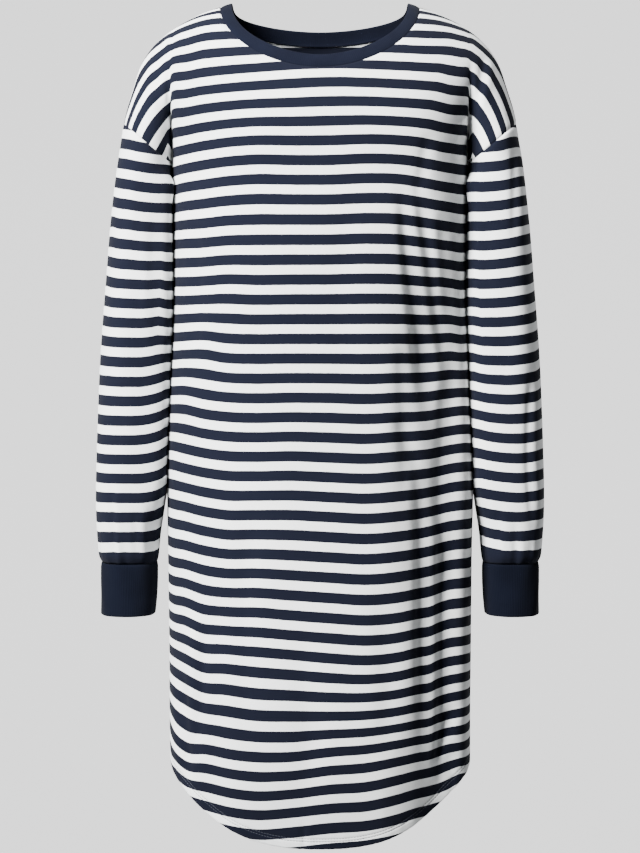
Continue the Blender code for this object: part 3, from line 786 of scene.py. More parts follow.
def add_mesh(name, points, cells, maps, material):
    """A smooth-shaded mesh at the origin, with named UV maps given as one pair for each point."""
    mesh = bpy.data.meshes.new(name)
    sizes = np.full(len(cells), cells.shape[1])
    mesh.vertices.add(len(points))
    mesh.vertices.foreach_set("co", points.astype(np.float32).ravel())
    mesh.loops.add(cells.size)
    mesh.loops.foreach_set("vertex_index", cells.astype(np.int32).ravel())
    mesh.polygons.add(len(cells))
    mesh.polygons.foreach_set("loop_start", (np.cumsum(sizes) - sizes).astype(np.int32))
    mesh.polygons.foreach_set("loop_total", sizes.astype(np.int32))
    mesh.polygons.foreach_set("use_smooth", np.ones(len(cells), dtype=bool))
    for title, values in maps.items():
        layer = mesh.uv_layers.new(name=title)
        layer.data.foreach_set("uv", values[cells.ravel()].astype(np.float32).ravel())
    mesh.update(calc_edges=True)
    mesh.validate()
    mesh.materials.append(material)
    thing = bpy.data.objects.new(name, mesh)
    bpy.context.scene.collection.objects.link(thing)
    print(name, "has", len(cells), "faces")
    return thing


# %% [markdown]
# ## Striped jersey
#
# The real cloth is a fine single jersey of dyed yarn. A printed-looking flat stripe would read
# as plastic, so the material has a slightly ragged colour edge, a faint mottle from the yarn, and
# a bump of small knitted ribs. The stripe is worked out by formula: the distance from the nearest
# whole stripe number, and navy where that is under 0.275.

# %% Small helpers for node materials
def new_material(name, roughness, sheen, specular):
    """A Principled material whose constants are set on the shader's own sockets."""
    material = bpy.data.materials.new(name)
    material.use_nodes = True
    shader = material.node_tree.nodes["Principled BSDF"]
    shader.inputs["Roughness"].default_value = roughness
    shader.inputs["Sheen Weight"].default_value = sheen
    shader.inputs["Sheen Roughness"].default_value = 0.6
    shader.inputs["Specular IOR Level"].default_value = specular
    shader.inputs["Metallic"].default_value = 0.0
    return material, material.node_tree, shader


def math_node(tree, operation, first, second=None):
    """A Math node on sockets or numbers, and its output."""
    node = tree.nodes.new("ShaderNodeMath")
    node.operation = operation
    for socket, value in zip(node.inputs, (first, second)):
        if value is None:
            continue
        if isinstance(value, (int, float)):
            socket.default_value = value
        else:
            tree.links.new(value, socket)
    return node.outputs[0]


def uv_parts(tree, title):
    """The two numbers of a UV map as separate sockets, and the map itself."""
    uv = tree.nodes.new("ShaderNodeUVMap")
    uv.uv_map = title
    split = tree.nodes.new("ShaderNodeSeparateXYZ")
    tree.links.new(uv.outputs["UV"], split.inputs[0])
    return split.outputs[0], split.outputs[1], uv.outputs["UV"]


def noise_node(tree, vector, scale, detail):
    """A Noise Texture's grey value on a vector, with a number of waves to a metre and a detail."""
    node = tree.nodes.new("ShaderNodeTexNoise")
    node.inputs["Scale"].default_value = scale
    node.inputs["Detail"].default_value = detail
    tree.links.new(vector, node.inputs["Vector"])
    return node.outputs["Fac"]


def range_node(tree, value, low, high, to_low, to_high):
    """A Map Range node with smooth steps."""
    node = tree.nodes.new("ShaderNodeMapRange")
    node.interpolation_type = "SMOOTHSTEP"
    tree.links.new(value, node.inputs["Value"])
    for title, number in (("From Min", low), ("From Max", high), ("To Min", to_low), ("To Max", to_high)):
        node.inputs[title].default_value = number
    return node.outputs["Result"]


def mix_colours(tree, factor, first, second, how="MIX"):
    """A colour mix. first and second are sockets or colours."""
    node = tree.nodes.new("ShaderNodeMix")
    node.data_type = "RGBA"
    node.blend_type = how
    if isinstance(factor, float):
        node.inputs["Factor"].default_value = factor
    else:
        tree.links.new(factor, node.inputs["Factor"])
    for socket, value in ((node.inputs[6], first), (node.inputs[7], second)):
        if isinstance(value, tuple):
            socket.default_value = value
        else:
            tree.links.new(value, socket)
    return node.outputs[2]


def add_bump(tree, shader, layers):
    """Bump nodes one after another. A layer is a height socket, a strength and a distance."""
    last = None
    for height, strength, distance in layers:
        bump = tree.nodes.new("ShaderNodeBump")
        bump.inputs["Strength"].default_value = strength
        bump.inputs["Distance"].default_value = distance
        tree.links.new(height, bump.inputs["Height"])
        if last is not None:
            tree.links.new(last, bump.inputs["Normal"])
        last = bump.outputs["Normal"]
    tree.links.new(last, shader.inputs["Normal"])


def ridges(tree, value, pitch):
    """The absolute value of a sine: one raised rib for each pitch of the value."""
    wave = math_node(tree, "SINE", math_node(tree, "MULTIPLY", value, math.pi / pitch))
    return math_node(tree, "ABSOLUTE", wave)


def mottled(tree, colour, value, low, high, tint):
    """A colour that is multiplied by a tint where a noise value is high."""
    factor = range_node(tree, value, low, high, 0.0, 1.0)
    return mix_colours(tree, factor, colour, mix_colours(tree, 1.0, colour, tint, "MULTIPLY"))


# %% The striped jersey
WHITE = (0.80, 0.81, 0.80, 1.0)
NAVY = (0.0044, 0.0054, 0.0112, 1.0)
NAVY_SHARE = 0.55
WALE = 0.0011
COURSE = 0.0009
MOTTLE_TINT = (0.955, 0.965, 0.975, 1.0)
YARN_TINT = (0.93, 0.93, 0.94, 1.0)
RAGGED = 0.030
WANDER = 0.020
EDGE_SOFT = 0.012


def jersey_material():
    """Navy where the stripe number, made a little ragged by noise, is within 0.275 of a whole
    number, and white elsewhere, with mottled yarn and the small ribs of the knit."""
    material, tree, shader = new_material("striped_jersey_cloth", 0.92, 0.01, 0.05)
    along, down, knit_uv = uv_parts(tree, "knit")
    number = uv_parts(tree, "stripe")[1]
    ragged = noise_node(tree, knit_uv, 1100.0, 1.0)
    wander = noise_node(tree, knit_uv, 60.0, 1.0)
    number = math_node(tree, "ADD", number, math_node(tree, "MULTIPLY", ragged, RAGGED))
    number = math_node(tree, "ADD", number, math_node(tree, "MULTIPLY", wander, WANDER))
    # Half a stripe puts the navy in the middle, and a hundred keeps the number above zero
    part = math_node(tree, "FRACT", math_node(tree, "ADD", number, 100.5 - (RAGGED + WANDER) / 2))
    away = math_node(tree, "ABSOLUTE", math_node(tree, "SUBTRACT", part, 0.5))
    half = NAVY_SHARE / 2
    is_navy = range_node(tree, away, half - EDGE_SOFT, half + EDGE_SOFT, 1.0, 0.0)
    colour = mix_colours(tree, is_navy, WHITE, NAVY)
    place = tree.nodes.new("ShaderNodeTexCoord").outputs["Object"]
    colour = mottled(tree, colour, noise_node(tree, place, 9.0, 4.0), 0.3, 0.7, MOTTLE_TINT)
    colour = mottled(tree, colour, noise_node(tree, knit_uv, 700.0, 2.0), 0.35, 0.65, YARN_TINT)
    tree.links.new(colour, shader.inputs["Base Color"])
    course = math_node(tree, "MULTIPLY", ridges(tree, down, COURSE), 0.4)
    knit = math_node(tree, "MULTIPLY", ridges(tree, along, WALE), math_node(tree, "ADD", 0.6, course))
    uneven = noise_node(tree, place, 42.0, 3.0)
    add_bump(tree, shader, [(uneven, 0.35, 0.0016), (knit, 0.30, 0.00016)])
    return material


striped = jersey_material()
print(striped.name, "has", len(striped.node_tree.nodes), "nodes")

# %% [markdown]
# ## Navy rib
#
# The neckband and the cuffs are a plain navy rib, doubled over. It is smoother and a little
# darker than the jersey. Its ribs run across the band's length, so the material draws them from
# the distance round the band, with a faint mottle in the colour and painted shade in the grooves
# between the ribs. The cuffs have their own copy whose navy is darker still: painted shade, for
# the shade they get at their angle.

# %% The navy rib
RIB = 0.0021
BAND_NAVY = ((0.0032, 0.0040, 0.0088, 1.0), (0.0042, 0.0053, 0.0112, 1.0))
# The cuffs' navy is the band's navy made darker: painted shade, for the shade the cuffs get at their angle.
SHADED_CUFF_NAVY = ((0.0020, 0.0027, 0.0060, 1.0), (0.0027, 0.0036, 0.0078, 1.0))
# Multiplied into the navy of the grooves between the ribs, as painted shade.
GROOVE_SHADE_TINT = (0.78, 0.78, 0.80, 1.0)


def rib_material(name, dark, light):
    """Navy with raised ribs: the absolute value of a sine of the distance round the band, and
    painted shade that darkens the grooves between them.
    """
    material, tree, shader = new_material(name, 0.92, 0.01, 0.03)
    along, down, knit_uv = uv_parts(tree, "knit")
    place = tree.nodes.new("ShaderNodeTexCoord").outputs["Object"]
    mottle = range_node(tree, noise_node(tree, place, 26.0, 3.0), 0.3, 0.7, 0.0, 1.0)
    rib = ridges(tree, along, RIB)
    raised = mix_colours(tree, mottle, dark, light)
    # The grooves between the ribs are darkened: painted shade.
    shaded_groove = mix_colours(tree, 1.0, raised, GROOVE_SHADE_TINT, "MULTIPLY")
    tree.links.new(mix_colours(tree, rib, shaded_groove, raised), shader.inputs["Base Color"])
    yarn = noise_node(tree, knit_uv, 900.0, 2.0)
    uneven = noise_node(tree, place, 60.0, 2.0)
    add_bump(tree, shader, [(uneven, 0.25, 0.0010), (rib, 0.35, 0.00035),
                            (ridges(tree, down, COURSE), 0.2, 0.00010), (yarn, 0.2, 0.00015)])
    return material


navy_rib = rib_material("navy_rib_cloth", *BAND_NAVY)
# A darker copy of the rib for the cuffs, whose navy is painted shade.
shaded_cuff_rib = rib_material("navy_rib_cuffs_painted_shade", *SHADED_CUFF_NAVY)
print(navy_rib.name, "has", len(navy_rib.node_tree.nodes), "nodes")

# %% [markdown]
# ## Front and back
#
# Each is one cut of jersey. Its grids are joined along the underarm level, the fine folds lift
# and lower it along its own direction, and its sewn edges dip by half a millimetre, as a seam
# does. The hem is the same cloth turned up once, so the wall is thicker there, its lower edge is
# round, and the two rows of the twin needle press into it.

# %% Panels
CLOTH = 0.0010
SEAM_DIP = 0.0006
SEAM_SOFT = 0.0035
RIPPLE = 0.00035

# The hem: how thick it is and how high it is turned up, over what length it gets as thin as the
# cloth, how far up its edge is round and how much thinner it is there, the two rows of stitches
# and how they press into it, and how high the puckers between them are and up to where
HEM_CLOTH = 0.0023
HEM_TURN = 0.0125
TURN_SOFT = 0.0012
HEM_ROUND = 0.0011
EDGE_THINNER = 0.0009
STITCH_ROWS = (0.0090, 0.0120)
STITCH_DENT = {"depth": 0.00042, "half": 0.0007}
PUCKER = 0.00035
HEM_BAND = 0.016
ABOVE_HEM = 0.02


def near_seam(points, side):
    """How close each point is to a sewn edge, from 0 to 1: a bell curve of the distance to the
    side seam, the shoulder seam, the armhole and the neckline."""
    x, y, z = points[..., 0], points[..., 1], points[..., 2]
    on_arm = np.abs(x) > CREASE_X
    to_armhole = np.where(on_arm, np.abs(z - armhole_z(x)), 1.0)
    to_armhole = np.where(on_arm & (z <= UNDERARM_Z), UNDERARM_Z - z, to_armhole)
    to_neck = np.where(np.abs(x) < NECK_HALF, np.abs(neckline_z(x, side) - z), 1.0)
    distance = np.minimum(np.minimum(np.abs(y), to_armhole), to_neck)
    return bell(distance, SEAM_SOFT)


def at_edge(from_edge):
    """How close to the hem's edge a point is: 1 on it, and falling with the square to 0."""
    return np.clip(1 - from_edge / HEM_ROUND, 0, 1) ** 2


def hem_relief(from_edge, x):
    """The turned edge: round at the bottom, pressed in along both stitch rows, and puckered a
    little between them with waves of uneven length."""
    rows = sum(bell(from_edge - row, STITCH_DENT["half"]) for row in STITCH_ROWS)
    band = np.exp(-((from_edge / HEM_BAND) ** 4))
    pucker = np.sin(x * 760 + 1.7 * np.sin(x * 95)) * np.sin(x * 233 + 0.7)
    return PUCKER * band * pucker - STITCH_DENT["depth"] * rows - HEM_ROUND * at_edge(from_edge)


def level_at_sides(normals, points):
    """The directions, made square to y along the side seams, where front and back meet."""
    normals = normals.copy()
    normals[np.abs(points[:, 1]) < 1e-6, 1] = 0.0
    return unit(normals)


def panel_surface(side):
    """Points, cells, directions, stripe numbers, distances from the hem, shares of the depth,
    which are 0 on the side seams, and the size of the lower grid."""
    low, from_edge, deep = lower_grid(side)
    top = upper_grid(side)
    low_index = np.arange(low[..., 0].size).reshape(low.shape[:2])
    top_index = low_index.size + np.arange(top[..., 0].size).reshape(top.shape[:2])
    cap, flank = CAP_STEPS[side], (low.shape[1] - (top.shape[1] - 2 * CAP_STEPS[side])) // 2
    top_index[0, cap:-cap] = low_index[-1, flank:-flank]
    cells = np.concatenate([cells_of(low_index), cells_of(top_index)])
    points = np.concatenate([low.reshape(-1, 3), top.reshape(-1, 3)])
    outwards = np.broadcast_to(np.array([0.0, FACING[side], 0.0]), points.shape)
    cells = facing_out(points, cells, outwards)
    normals = level_at_sides(point_normals(points, cells), points)
    stripe = np.concatenate([lower_stripes(low, side).ravel(), upper_stripes(top, side).ravel()])
    edge = np.concatenate([from_edge.ravel(), np.full(top[..., 0].size, 1.0)])
    shallow = np.concatenate([deep.ravel(), np.ones(top[..., 0].size)])
    return points, cells, normals, stripe, edge, shallow, low.shape[:2]


def panel_relief(points, edge, shallow, side):
    """The height that folds, seams and the hem add along the surface's own direction. Folds fade
    out towards the sewn edges, which are stiffer than the cloth between them."""
    x, y, z = points.T
    folds = FOLD_SCALE[side] * fold_relief(x, z, FINE_FOLDS[side]) * smooth(shallow / 0.35)
    caps = fold_relief(x, z, CAP_FOLDS[side]) * smooth((np.abs(x) - CREASE_X - 0.001) / 0.004)
    calm = smooth(np.abs(y) / 0.020) * smooth((z - armhole_z(x)) / 0.008 + (np.abs(x) < CREASE_X))
    ripple = RIPPLE * np.sin(x * 61 + 2 * np.sin(z * 17)) * np.sin(z * 23 + x * 9)
    return folds + ripple * smooth(shallow / 0.3) + caps * calm


def seen_shift(points, shaped, normals):
    """The lift table was measured on the cloth without its fine folds. Each folded point is
    followed along the camera's line of sight to the plain cloth, and the change in height and in
    lift from its own place to there is how far the stripe has to be carried, in metres."""
    sight = shaped - np.array(CAMERA_PLACE)
    sight = sight / sight[:, 1:2]
    facing = np.minimum((normals * sight).sum(axis=1), -0.35)
    moved = shaped - points
    moved = moved - sight * ((moved * normals).sum(axis=1) / facing)[:, None]
    x, z = points[:, 0], points[:, 2]
    carried = lift(x + moved[:, 0], z + moved[:, 2], "front") - lift(x, z, "front") - moved[:, 2]
    return carried * smooth((UNDERARM_Z - z) / 0.030) * smooth(np.abs(points[:, 1]) / 0.035)


def make_panel(side):
    """One panel as a finished piece."""
    points, cells, normals, stripe, edge, shallow, size = panel_surface(side)
    sewn = near_seam(points, side) * (edge > ABOVE_HEM)
    height = panel_relief(points, edge, shallow, side) * (1 - sewn) - SEAM_DIP * sewn
    height = height + hem_relief(edge, points[:, 0])
    shaped = points + normals * height[:, None]
    if side == "front":
        shaped[:, 1] += set_back(points[:, 0], points[:, 2])
        stripe = stripe + seen_shift(points, shaped, normals) / STRIPE_REPEAT
    normals = level_at_sides(point_normals(shaped, cells), points)
    in_hem = smooth(0.5 + (HEM_TURN - edge) / TURN_SOFT)
    thickness = CLOTH + (HEM_CLOTH - CLOTH) * in_hem - EDGE_THINNER * at_edge(edge)
    every, faces = wall_of(shaped, cells, normals, thickness)
    maps = {
        "stripe": np.tile(np.stack([points[:, 0], stripe], axis=-1), (2, 1)),
        "knit": np.tile(np.stack([points[:, 0], -stripe * STRIPE_REPEAT], axis=-1), (2, 1)),
    }
    thing = add_mesh(side + "_cloth", every, faces, maps, striped)
    return thing, shaped, normals, edge, size


panels = {side: make_panel(side) for side in ("front", "back")}

# %% [markdown]
# ## Twin-needle stitching
#
# The hem is sewn with two parallel rows of short stitches. A texture would blur at this size and
# a real thread would cost too many faces, so each stitch is a small capsule of two dozen faces.
# They are laid along the hem's own surface, one after another, in the grooves of the last cell.

# %% Stitches
STITCH_PITCH = 0.0030
STITCH_LENGTH = 0.0024
THREAD = 0.00022
THREAD_COLOURS = ((0.018, 0.021, 0.032, 1.0), (0.030, 0.034, 0.048, 1.0))


def thread_material():
    """Matt grey-blue thread with a fine twist as bump."""
    material, tree, shader = new_material("hem_thread", 0.75, 0.10, 0.30)
    place = tree.nodes.new("ShaderNodeTexCoord").outputs["Object"]
    twist = noise_node(tree, place, 1500.0, 1.0)
    tree.links.new(mix_colours(tree, twist, *THREAD_COLOURS), shader.inputs["Base Color"])
    add_bump(tree, shader, [(twist, 0.3, 0.0001)])
    return material


hem_thread = thread_material()


def capsules(starts, ends, ups, radius):
    """Small six-sided spindles between pairs of points: rings at four places along each, the two
    at its ends with a quarter of the radius."""
    along = ends - starts
    across = unit(np.cross(along, ups))
    over = unit(np.cross(across, along))
    share = np.array([0.0, 0.18, 0.82, 1.0])
    girth = np.array([0.25, 1.0, 1.0, 0.25]) * radius
    angle = np.linspace(0, 2 * math.pi, 7)[:-1]
    ring = (across[:, None, None] * np.cos(angle)[None, None, :, None]
            + over[:, None, None] * np.sin(angle)[None, None, :, None])
    spine = starts[:, None, None] + along[:, None, None] * share[None, :, None, None]
    points = spine + ring * girth[None, :, None, None]
    index = np.arange(points[..., 0].size).reshape(len(starts), 4, 6)
    caps = [index[:, 0, [0, 1, 2, 3]], index[:, 0, [0, 3, 4, 5]]]
    caps += [index[:, 3, [3, 2, 1, 0]], index[:, 3, [5, 4, 3, 0]]]
    return points.reshape(-1, 3), np.concatenate([ring_cells(index), *caps])[:, ::-1]


def read_along(place, along, values):
    """Rows of three values, read in between at places along a line."""
    return np.stack([np.interp(place, along, values[:, k]) for k in range(3)], axis=-1)


def row_on_panel(side, distance):
    """A line on the finished panel at a fixed distance from its hem, and the directions there."""
    _, shaped, normals, edge, size = panels[side]
    count = size[0] * size[1]
    surface = shaped[:count].reshape(*size, 3)
    facing = normals[:count].reshape(*size, 3)
    away = edge[:count].reshape(size)
    columns = np.arange(size[1])
    upper = (away >= distance).argmax(axis=0)
    share = (distance - away[upper - 1, columns]) / (away[upper, columns] - away[upper - 1, columns])
    line = surface[upper - 1, columns] * (1 - share[:, None]) + surface[upper, columns] * share[:, None]
    return line, facing[upper, columns]


def make_stitches(side):
    """Both rows of a panel's hem as one piece."""
    parts, cells, count = [], [], 0
    for row in STITCH_ROWS:
        line, facing = row_on_panel(side, row)
        along = share_along(line)
        length = step_lengths(line).sum()
        number = int(length / STITCH_PITCH)
        place = (np.arange(number) + 0.5) / number
        half = 0.5 * STITCH_LENGTH / length
        up = read_along(place, along, facing)
        start, end = (read_along(place + s * half, along, line) + up * (THREAD * 0.5) for s in (-1, 1))
        points, faces = capsules(start, end, up, THREAD)
        parts.append(points)
        cells.append(faces + count)
        count += len(points)
    points, cells = np.concatenate(parts), np.concatenate(cells)
    return add_mesh("hem_stitches_" + side, points, cells, {"knit": points[:, :2]}, hem_thread)


stitches = {side: make_stitches(side) for side in ("front", "back")}

# %% [markdown]
# ## Sleeves
#
# A sleeve is one cut closed into a tube. Its top ring is the armhole's edge, and below it is a
# flattened tube that narrows towards the wrist and is eased into a smaller cuff, so its end puffs
# a little and is finely gathered. Each sleeve has its own few creases. Stripe numbers come from a
# short table for each sleeve, because the stripes tilt near the armhole.

# %% Shape of the sleeves
# Rows down a sleeve, the power that spaces them, and points along half an armhole
SLEEVE_ROWS = 160
ROW_SPACING = 0.92
ARMHOLE_STEPS = {"flank": 9, "cap": 26}
# How far above the cuff the tube closes in on it, and how far inside it the tube ends
CLOSE_IN = 0.0050
EASE_IN = 0.0006
# Heights of the gathers and of the slack waves, and the radius that turns angles into metres
GATHER = 0.00045
SLACK = 0.0006
SLEEVE_RADIUS = 0.047

# The inner side lies against the body: how much of the gap is closed, what is left of it, how
# softly the one goes over into the other, and where that fades out above the cuff and below the
# underarm, with the lengths it takes
GAP_CLOSED = 0.0130
GAP_LEFT = 0.0006
GAP_SOFT = 0.002
PRESSED_END = (-0.565, 0.065)
PRESSED_TOP = (UNDERARM_Z - 0.002, 0.022)

# Folds of each sleeve on its front and back, in millimetres like those of the body
SLEEVE_FOLDS = {
    "left": {
        "front": [
            (((-169, -215), (-169.5, -300), (-164, -385)), 2.2, 4.2, -0.5),
            (((-204, -190), (-199, -250)), 1, 6, 0.4),
            (((-215, -505), (-212, -592)), 1.3, 3, 0.5),
            (((-190, -530), (-189, -592)), 1.2, 2.8, 0.5),
            (((-176, -515), (-177.5, -592)), 1.1, 2.8, -0.5),
            (((-203, -400), (-208, -480)), 0.9, 7, 0.3),
        ],
        "back": [
            (((-176, -205), (-179, -290), (-185, -370)), 2.4, 5, 0.5),
            (((-205, -360), (-201, -450)), 1.6, 5.5, 0.4),
            (((-185, -520), (-187, -592)), 1.3, 3, 0.5),
            (((-208, -535), (-207, -592)), 1.2, 2.8, 0.5),
            (((-219, -540), (-218, -592)), 1, 2.8, 0.5),
        ],
    },
    "right": {
        "front": [
            (((199, -150), (198.5, -200), (197.5, -262)), 1.6, 4, 0.5),
            (((217.5, -385), (215, -430), (214, -475), (220, -560)), 2, 3.8, 0.6),
            (((170, -225), (172, -330)), 1.2, 5, 0.4),
            (((185, -525), (184, -592)), 1.2, 2.8, 0.5),
            (((201, -540), (202, -592)), 1.1, 2.8, -0.5),
            (((190, -330), (187, -420)), 0.8, 8, 0.3),
        ],
        "back": [
            (((180, -200), (177, -300), (183, -390)), 2.2, 5, -0.5),
            (((208, -300), (211, -400)), 1.8, 5, 0.4),
            (((188, -515), (186, -592)), 1.4, 3, 0.5),
            (((204, -530), (205, -592)), 1.2, 2.8, -0.5),
            (((218, -545), (217, -592)), 1, 2.8, 0.5),
        ],
    },
}

# Stripe number of a sleeve: z, then at breadths from the inner to the outer side
SLEEVE_STRIPE_X = np.array([0.1580, 0.1640, 0.1720, 0.1830, 0.1950, 0.2060, 0.2150, 0.2240, 0.2310])
SLEEVE_STRIPES = {
    "left": np.array([
        (-0.130, -1.71, -1.69, -1.65, -1.55, -1.39, -1.17, -0.92, -0.63, -0.38),
        (-0.160, -0.17, -0.18, -0.15, -0.07, 0.08, 0.24, 0.44, 0.69, 0.85),
        (-0.190, 1.34, 1.33, 1.35, 1.42, 1.54, 1.66, 1.84, 2.03, 2.04),
        (-0.230, 3.36, 3.35, 3.37, 3.41, 3.51, 3.59, 3.73, 3.69, 3.62),
        (-0.280, 5.87, 5.93, 5.90, 5.92, 5.97, 6.02, 6.11, 6.21, 6.09),
        (-0.340, 9.00, 9.09, 9.03, 8.98, 8.99, 9.01, 9.04, 9.11, 9.16),
        (-0.400, 12.31, 12.18, 12.07, 11.98, 11.98, 11.98, 12.00, 12.02, 12.03),
        (-0.460, 15.42, 15.24, 15.10, 15.01, 14.98, 14.98, 14.98, 14.98, 15.00),
        (-0.520, 18.40, 18.20, 18.07, 18.00, 18.00, 18.00, 18.00, 17.99, 17.97),
        (-0.560, 20.45, 20.14, 19.94, 19.95, 19.94, 19.94, 19.93, 19.91, 19.85),
        (-0.595, 22.23, 21.80, 21.53, 21.51, 21.54, 21.55, 21.54, 21.49, 21.44),
    ]),
    "right": np.array([
        (-0.130, -1.57, -1.54, -1.48, -1.36, -1.21, -1.22, -1.37, -1.49, -1.54),
        (-0.160, -0.04, -0.06, -0.05, 0.00, 0.17, 0.28, 0.11, 0.17, 0.21),
        (-0.190, 1.45, 1.42, 1.43, 1.47, 1.59, 1.74, 1.79, 1.88, 1.91),
        (-0.230, 3.43, 3.41, 3.43, 3.48, 3.57, 3.71, 3.84, 3.98, 4.07),
        (-0.280, 6.00, 5.95, 5.96, 6.00, 6.08, 6.18, 6.26, 6.46, 6.66),
        (-0.340, 9.12, 9.03, 9.03, 9.03, 9.07, 9.14, 9.22, 9.36, 9.60),
        (-0.400, 12.26, 12.17, 12.11, 12.08, 12.07, 12.12, 12.17, 12.26, 12.45),
        (-0.460, 15.32, 15.29, 15.19, 15.11, 15.07, 15.07, 15.10, 15.19, 15.24),
        (-0.520, 18.12, 18.22, 18.18, 18.10, 18.04, 18.01, 18.04, 18.09, 18.13),
        (-0.560, 20.09, 20.19, 20.13, 20.05, 19.99, 19.99, 20.01, 20.04, 20.06),
        (-0.595, 21.92, 21.95, 21.83, 21.74, 21.69, 21.67, 21.64, 21.56, 21.52),
    ]),
}
# The last navy stripe runs on into the seam of the cuff
SLEEVE_LAST_STRIPE = 21.2


def armhole_half(side, hand):
    """The armhole's edge from the underarm to the shoulder tip, on one panel."""
    start = rounded(CREASE_X / body_half(UNDERARM_Z), BODY_SQUARE)
    deep = start * np.linspace(0, 1, ARMHOLE_STEPS["flank"] + 1)
    flank = np.stack([hand * body_half(UNDERARM_Z) * rounded(deep, BODY_SQUARE),
                      FACING[side] * body_depth(UNDERARM_Z, side) * deep,
                      np.full(len(deep), UNDERARM_Z)], axis=-1)
    share = np.sin(np.linspace(0, math.pi / 2, ARMHOLE_STEPS["cap"] + 1))[1:]
    x = hand * (CREASE_X + (SHOULDER_TIP_X - CREASE_X) * share)
    cap = upper_points(x, armhole_z(x), x, shoulder_z(x), 1, side)[0]
    return np.concatenate([flank, cap])


def tube_section(angle, x, half, y, depth, power):
    """A point of a flattened ring. Angle 0 is its inner side and a quarter turn its front."""
    c, s = np.cos(angle), np.sin(angle)
    across = -np.sign(c) * np.abs(c) ** (2 / power)
    along = -np.sign(s) * np.abs(s) ** (2 / power)
    return x + half * across, y + depth * along


def sleeve_section(angle, z, hand):
    """The sleeve's ring at a height, from the table of its breadths and depths."""
    outer, inner, middle_y, depth = (eased(z, SLEEVE[:, 0], SLEEVE[:, k]) for k in (1, 2, 3, 4))
    x, y = tube_section(angle, (outer + inner) / 2, (outer - inner) / 2, middle_y, depth, SLEEVE_SQUARE)
    return np.stack([hand * x, y, z], axis=-1)


def sleeve_grid(hand):
    """Rows from the armhole down to the cuff. Near the top the section is moved to meet the
    armhole's edge, and near the end it closes in on the cuff's own ring."""
    front, back = armhole_half("front", hand), armhole_half("back", hand)
    ring = np.concatenate([front, back[-2:0:-1]])
    turn = math.pi * share_along(front), 2 * math.pi - math.pi * share_along(back)[-2:0:-1]
    angle = np.concatenate(turn)
    down = np.linspace(0, 1, SLEEVE_ROWS + 1)[:, None] ** ROW_SPACING
    z = ring[:, 2] + (CUFF_SEAM_Z - ring[:, 2]) * down
    settle = 1 - smooth(down / SLEEVE_SETTLE)
    to_ring = ring - sleeve_section(angle, ring[:, 2], hand)
    grid = sleeve_section(angle, z, hand) + to_ring * settle[..., None]
    x, y = tube_section(angle, CUFF_TOP["x"], CUFF_TOP["half"] - EASE_IN,
                        CUFF_TOP["y"], CUFF_TOP["depth"] - EASE_IN, SLEEVE_SQUARE)
    seam_z = np.full(len(angle), CUFF_SEAM_Z)
    to_cuff = np.stack([hand * x, y, seam_z], axis=-1) - sleeve_section(angle, seam_z, hand)
    grid = grid + to_cuff * bell(z - CUFF_SEAM_Z, CLOSE_IN)[..., None]
    return pressed_to_body(grid, angle, hand), angle, ring


def pressed_to_body(grid, angle, hand):
    """Moves the sleeve's inner side against the body, as a hanging sleeve lies. The gap to the
    body's flank is made a smooth maximum of nothing and the gap less thirteen millimetres, plus a
    little that is left between them, from the armhole down to where the two part."""
    y, z = grid[..., 1], grid[..., 2]
    depth = np.where(y < 0, body_depth(z, "front"), body_depth(z, "back"))
    flank = body_half(z) * rounded(np.clip(np.abs(y) / depth, 0, 1), BODY_SQUARE)
    gap = hand * grid[..., 0] - flank
    spare = gap - GAP_CLOSED
    closed = GAP_LEFT + (spare + np.sqrt(spare ** 2 + GAP_SOFT ** 2)) / 2
    inner = smooth(np.cos(angle) / 0.55) * smooth((z - PRESSED_END[0]) / PRESSED_END[1])
    inner = inner * smooth((PRESSED_TOP[0] - z) / PRESSED_TOP[1])
    moved = grid.copy()
    moved[..., 0] = grid[..., 0] + hand * (np.minimum(closed, gap) - gap) * inner
    return moved


def sleeve_relief(grid, angle, z, label):
    """Folds of the front and the back half by where they run, and fine gathers above the cuff:
    a sum of three sines round the ring that fades upwards."""
    is_front = smooth(0.5 + np.sin(angle) / 0.5)
    rows = SLEEVE_FOLDS[label]
    x = grid[..., 0]
    height = fold_relief(x, z, rows["back"]) * (1 - is_front)
    height = height + fold_relief(x, z, rows["front"]) * is_front
    side_calm = smooth(np.abs(np.sin(angle)) / 0.45)
    gather = np.sin(11 * angle + 0.6) + 0.8 * np.sin(17 * angle + 2.1) + 0.5 * np.sin(26 * angle)
    gather = GATHER * gather * smooth((z + 0.545) / -0.040)
    slack = SLACK * np.sin(z * 31 + 2 * np.cos(angle)) * np.sin(z * 12 + 3 * angle)
    return height * side_calm + (gather + slack) * (0.25 + 0.75 * side_calm)


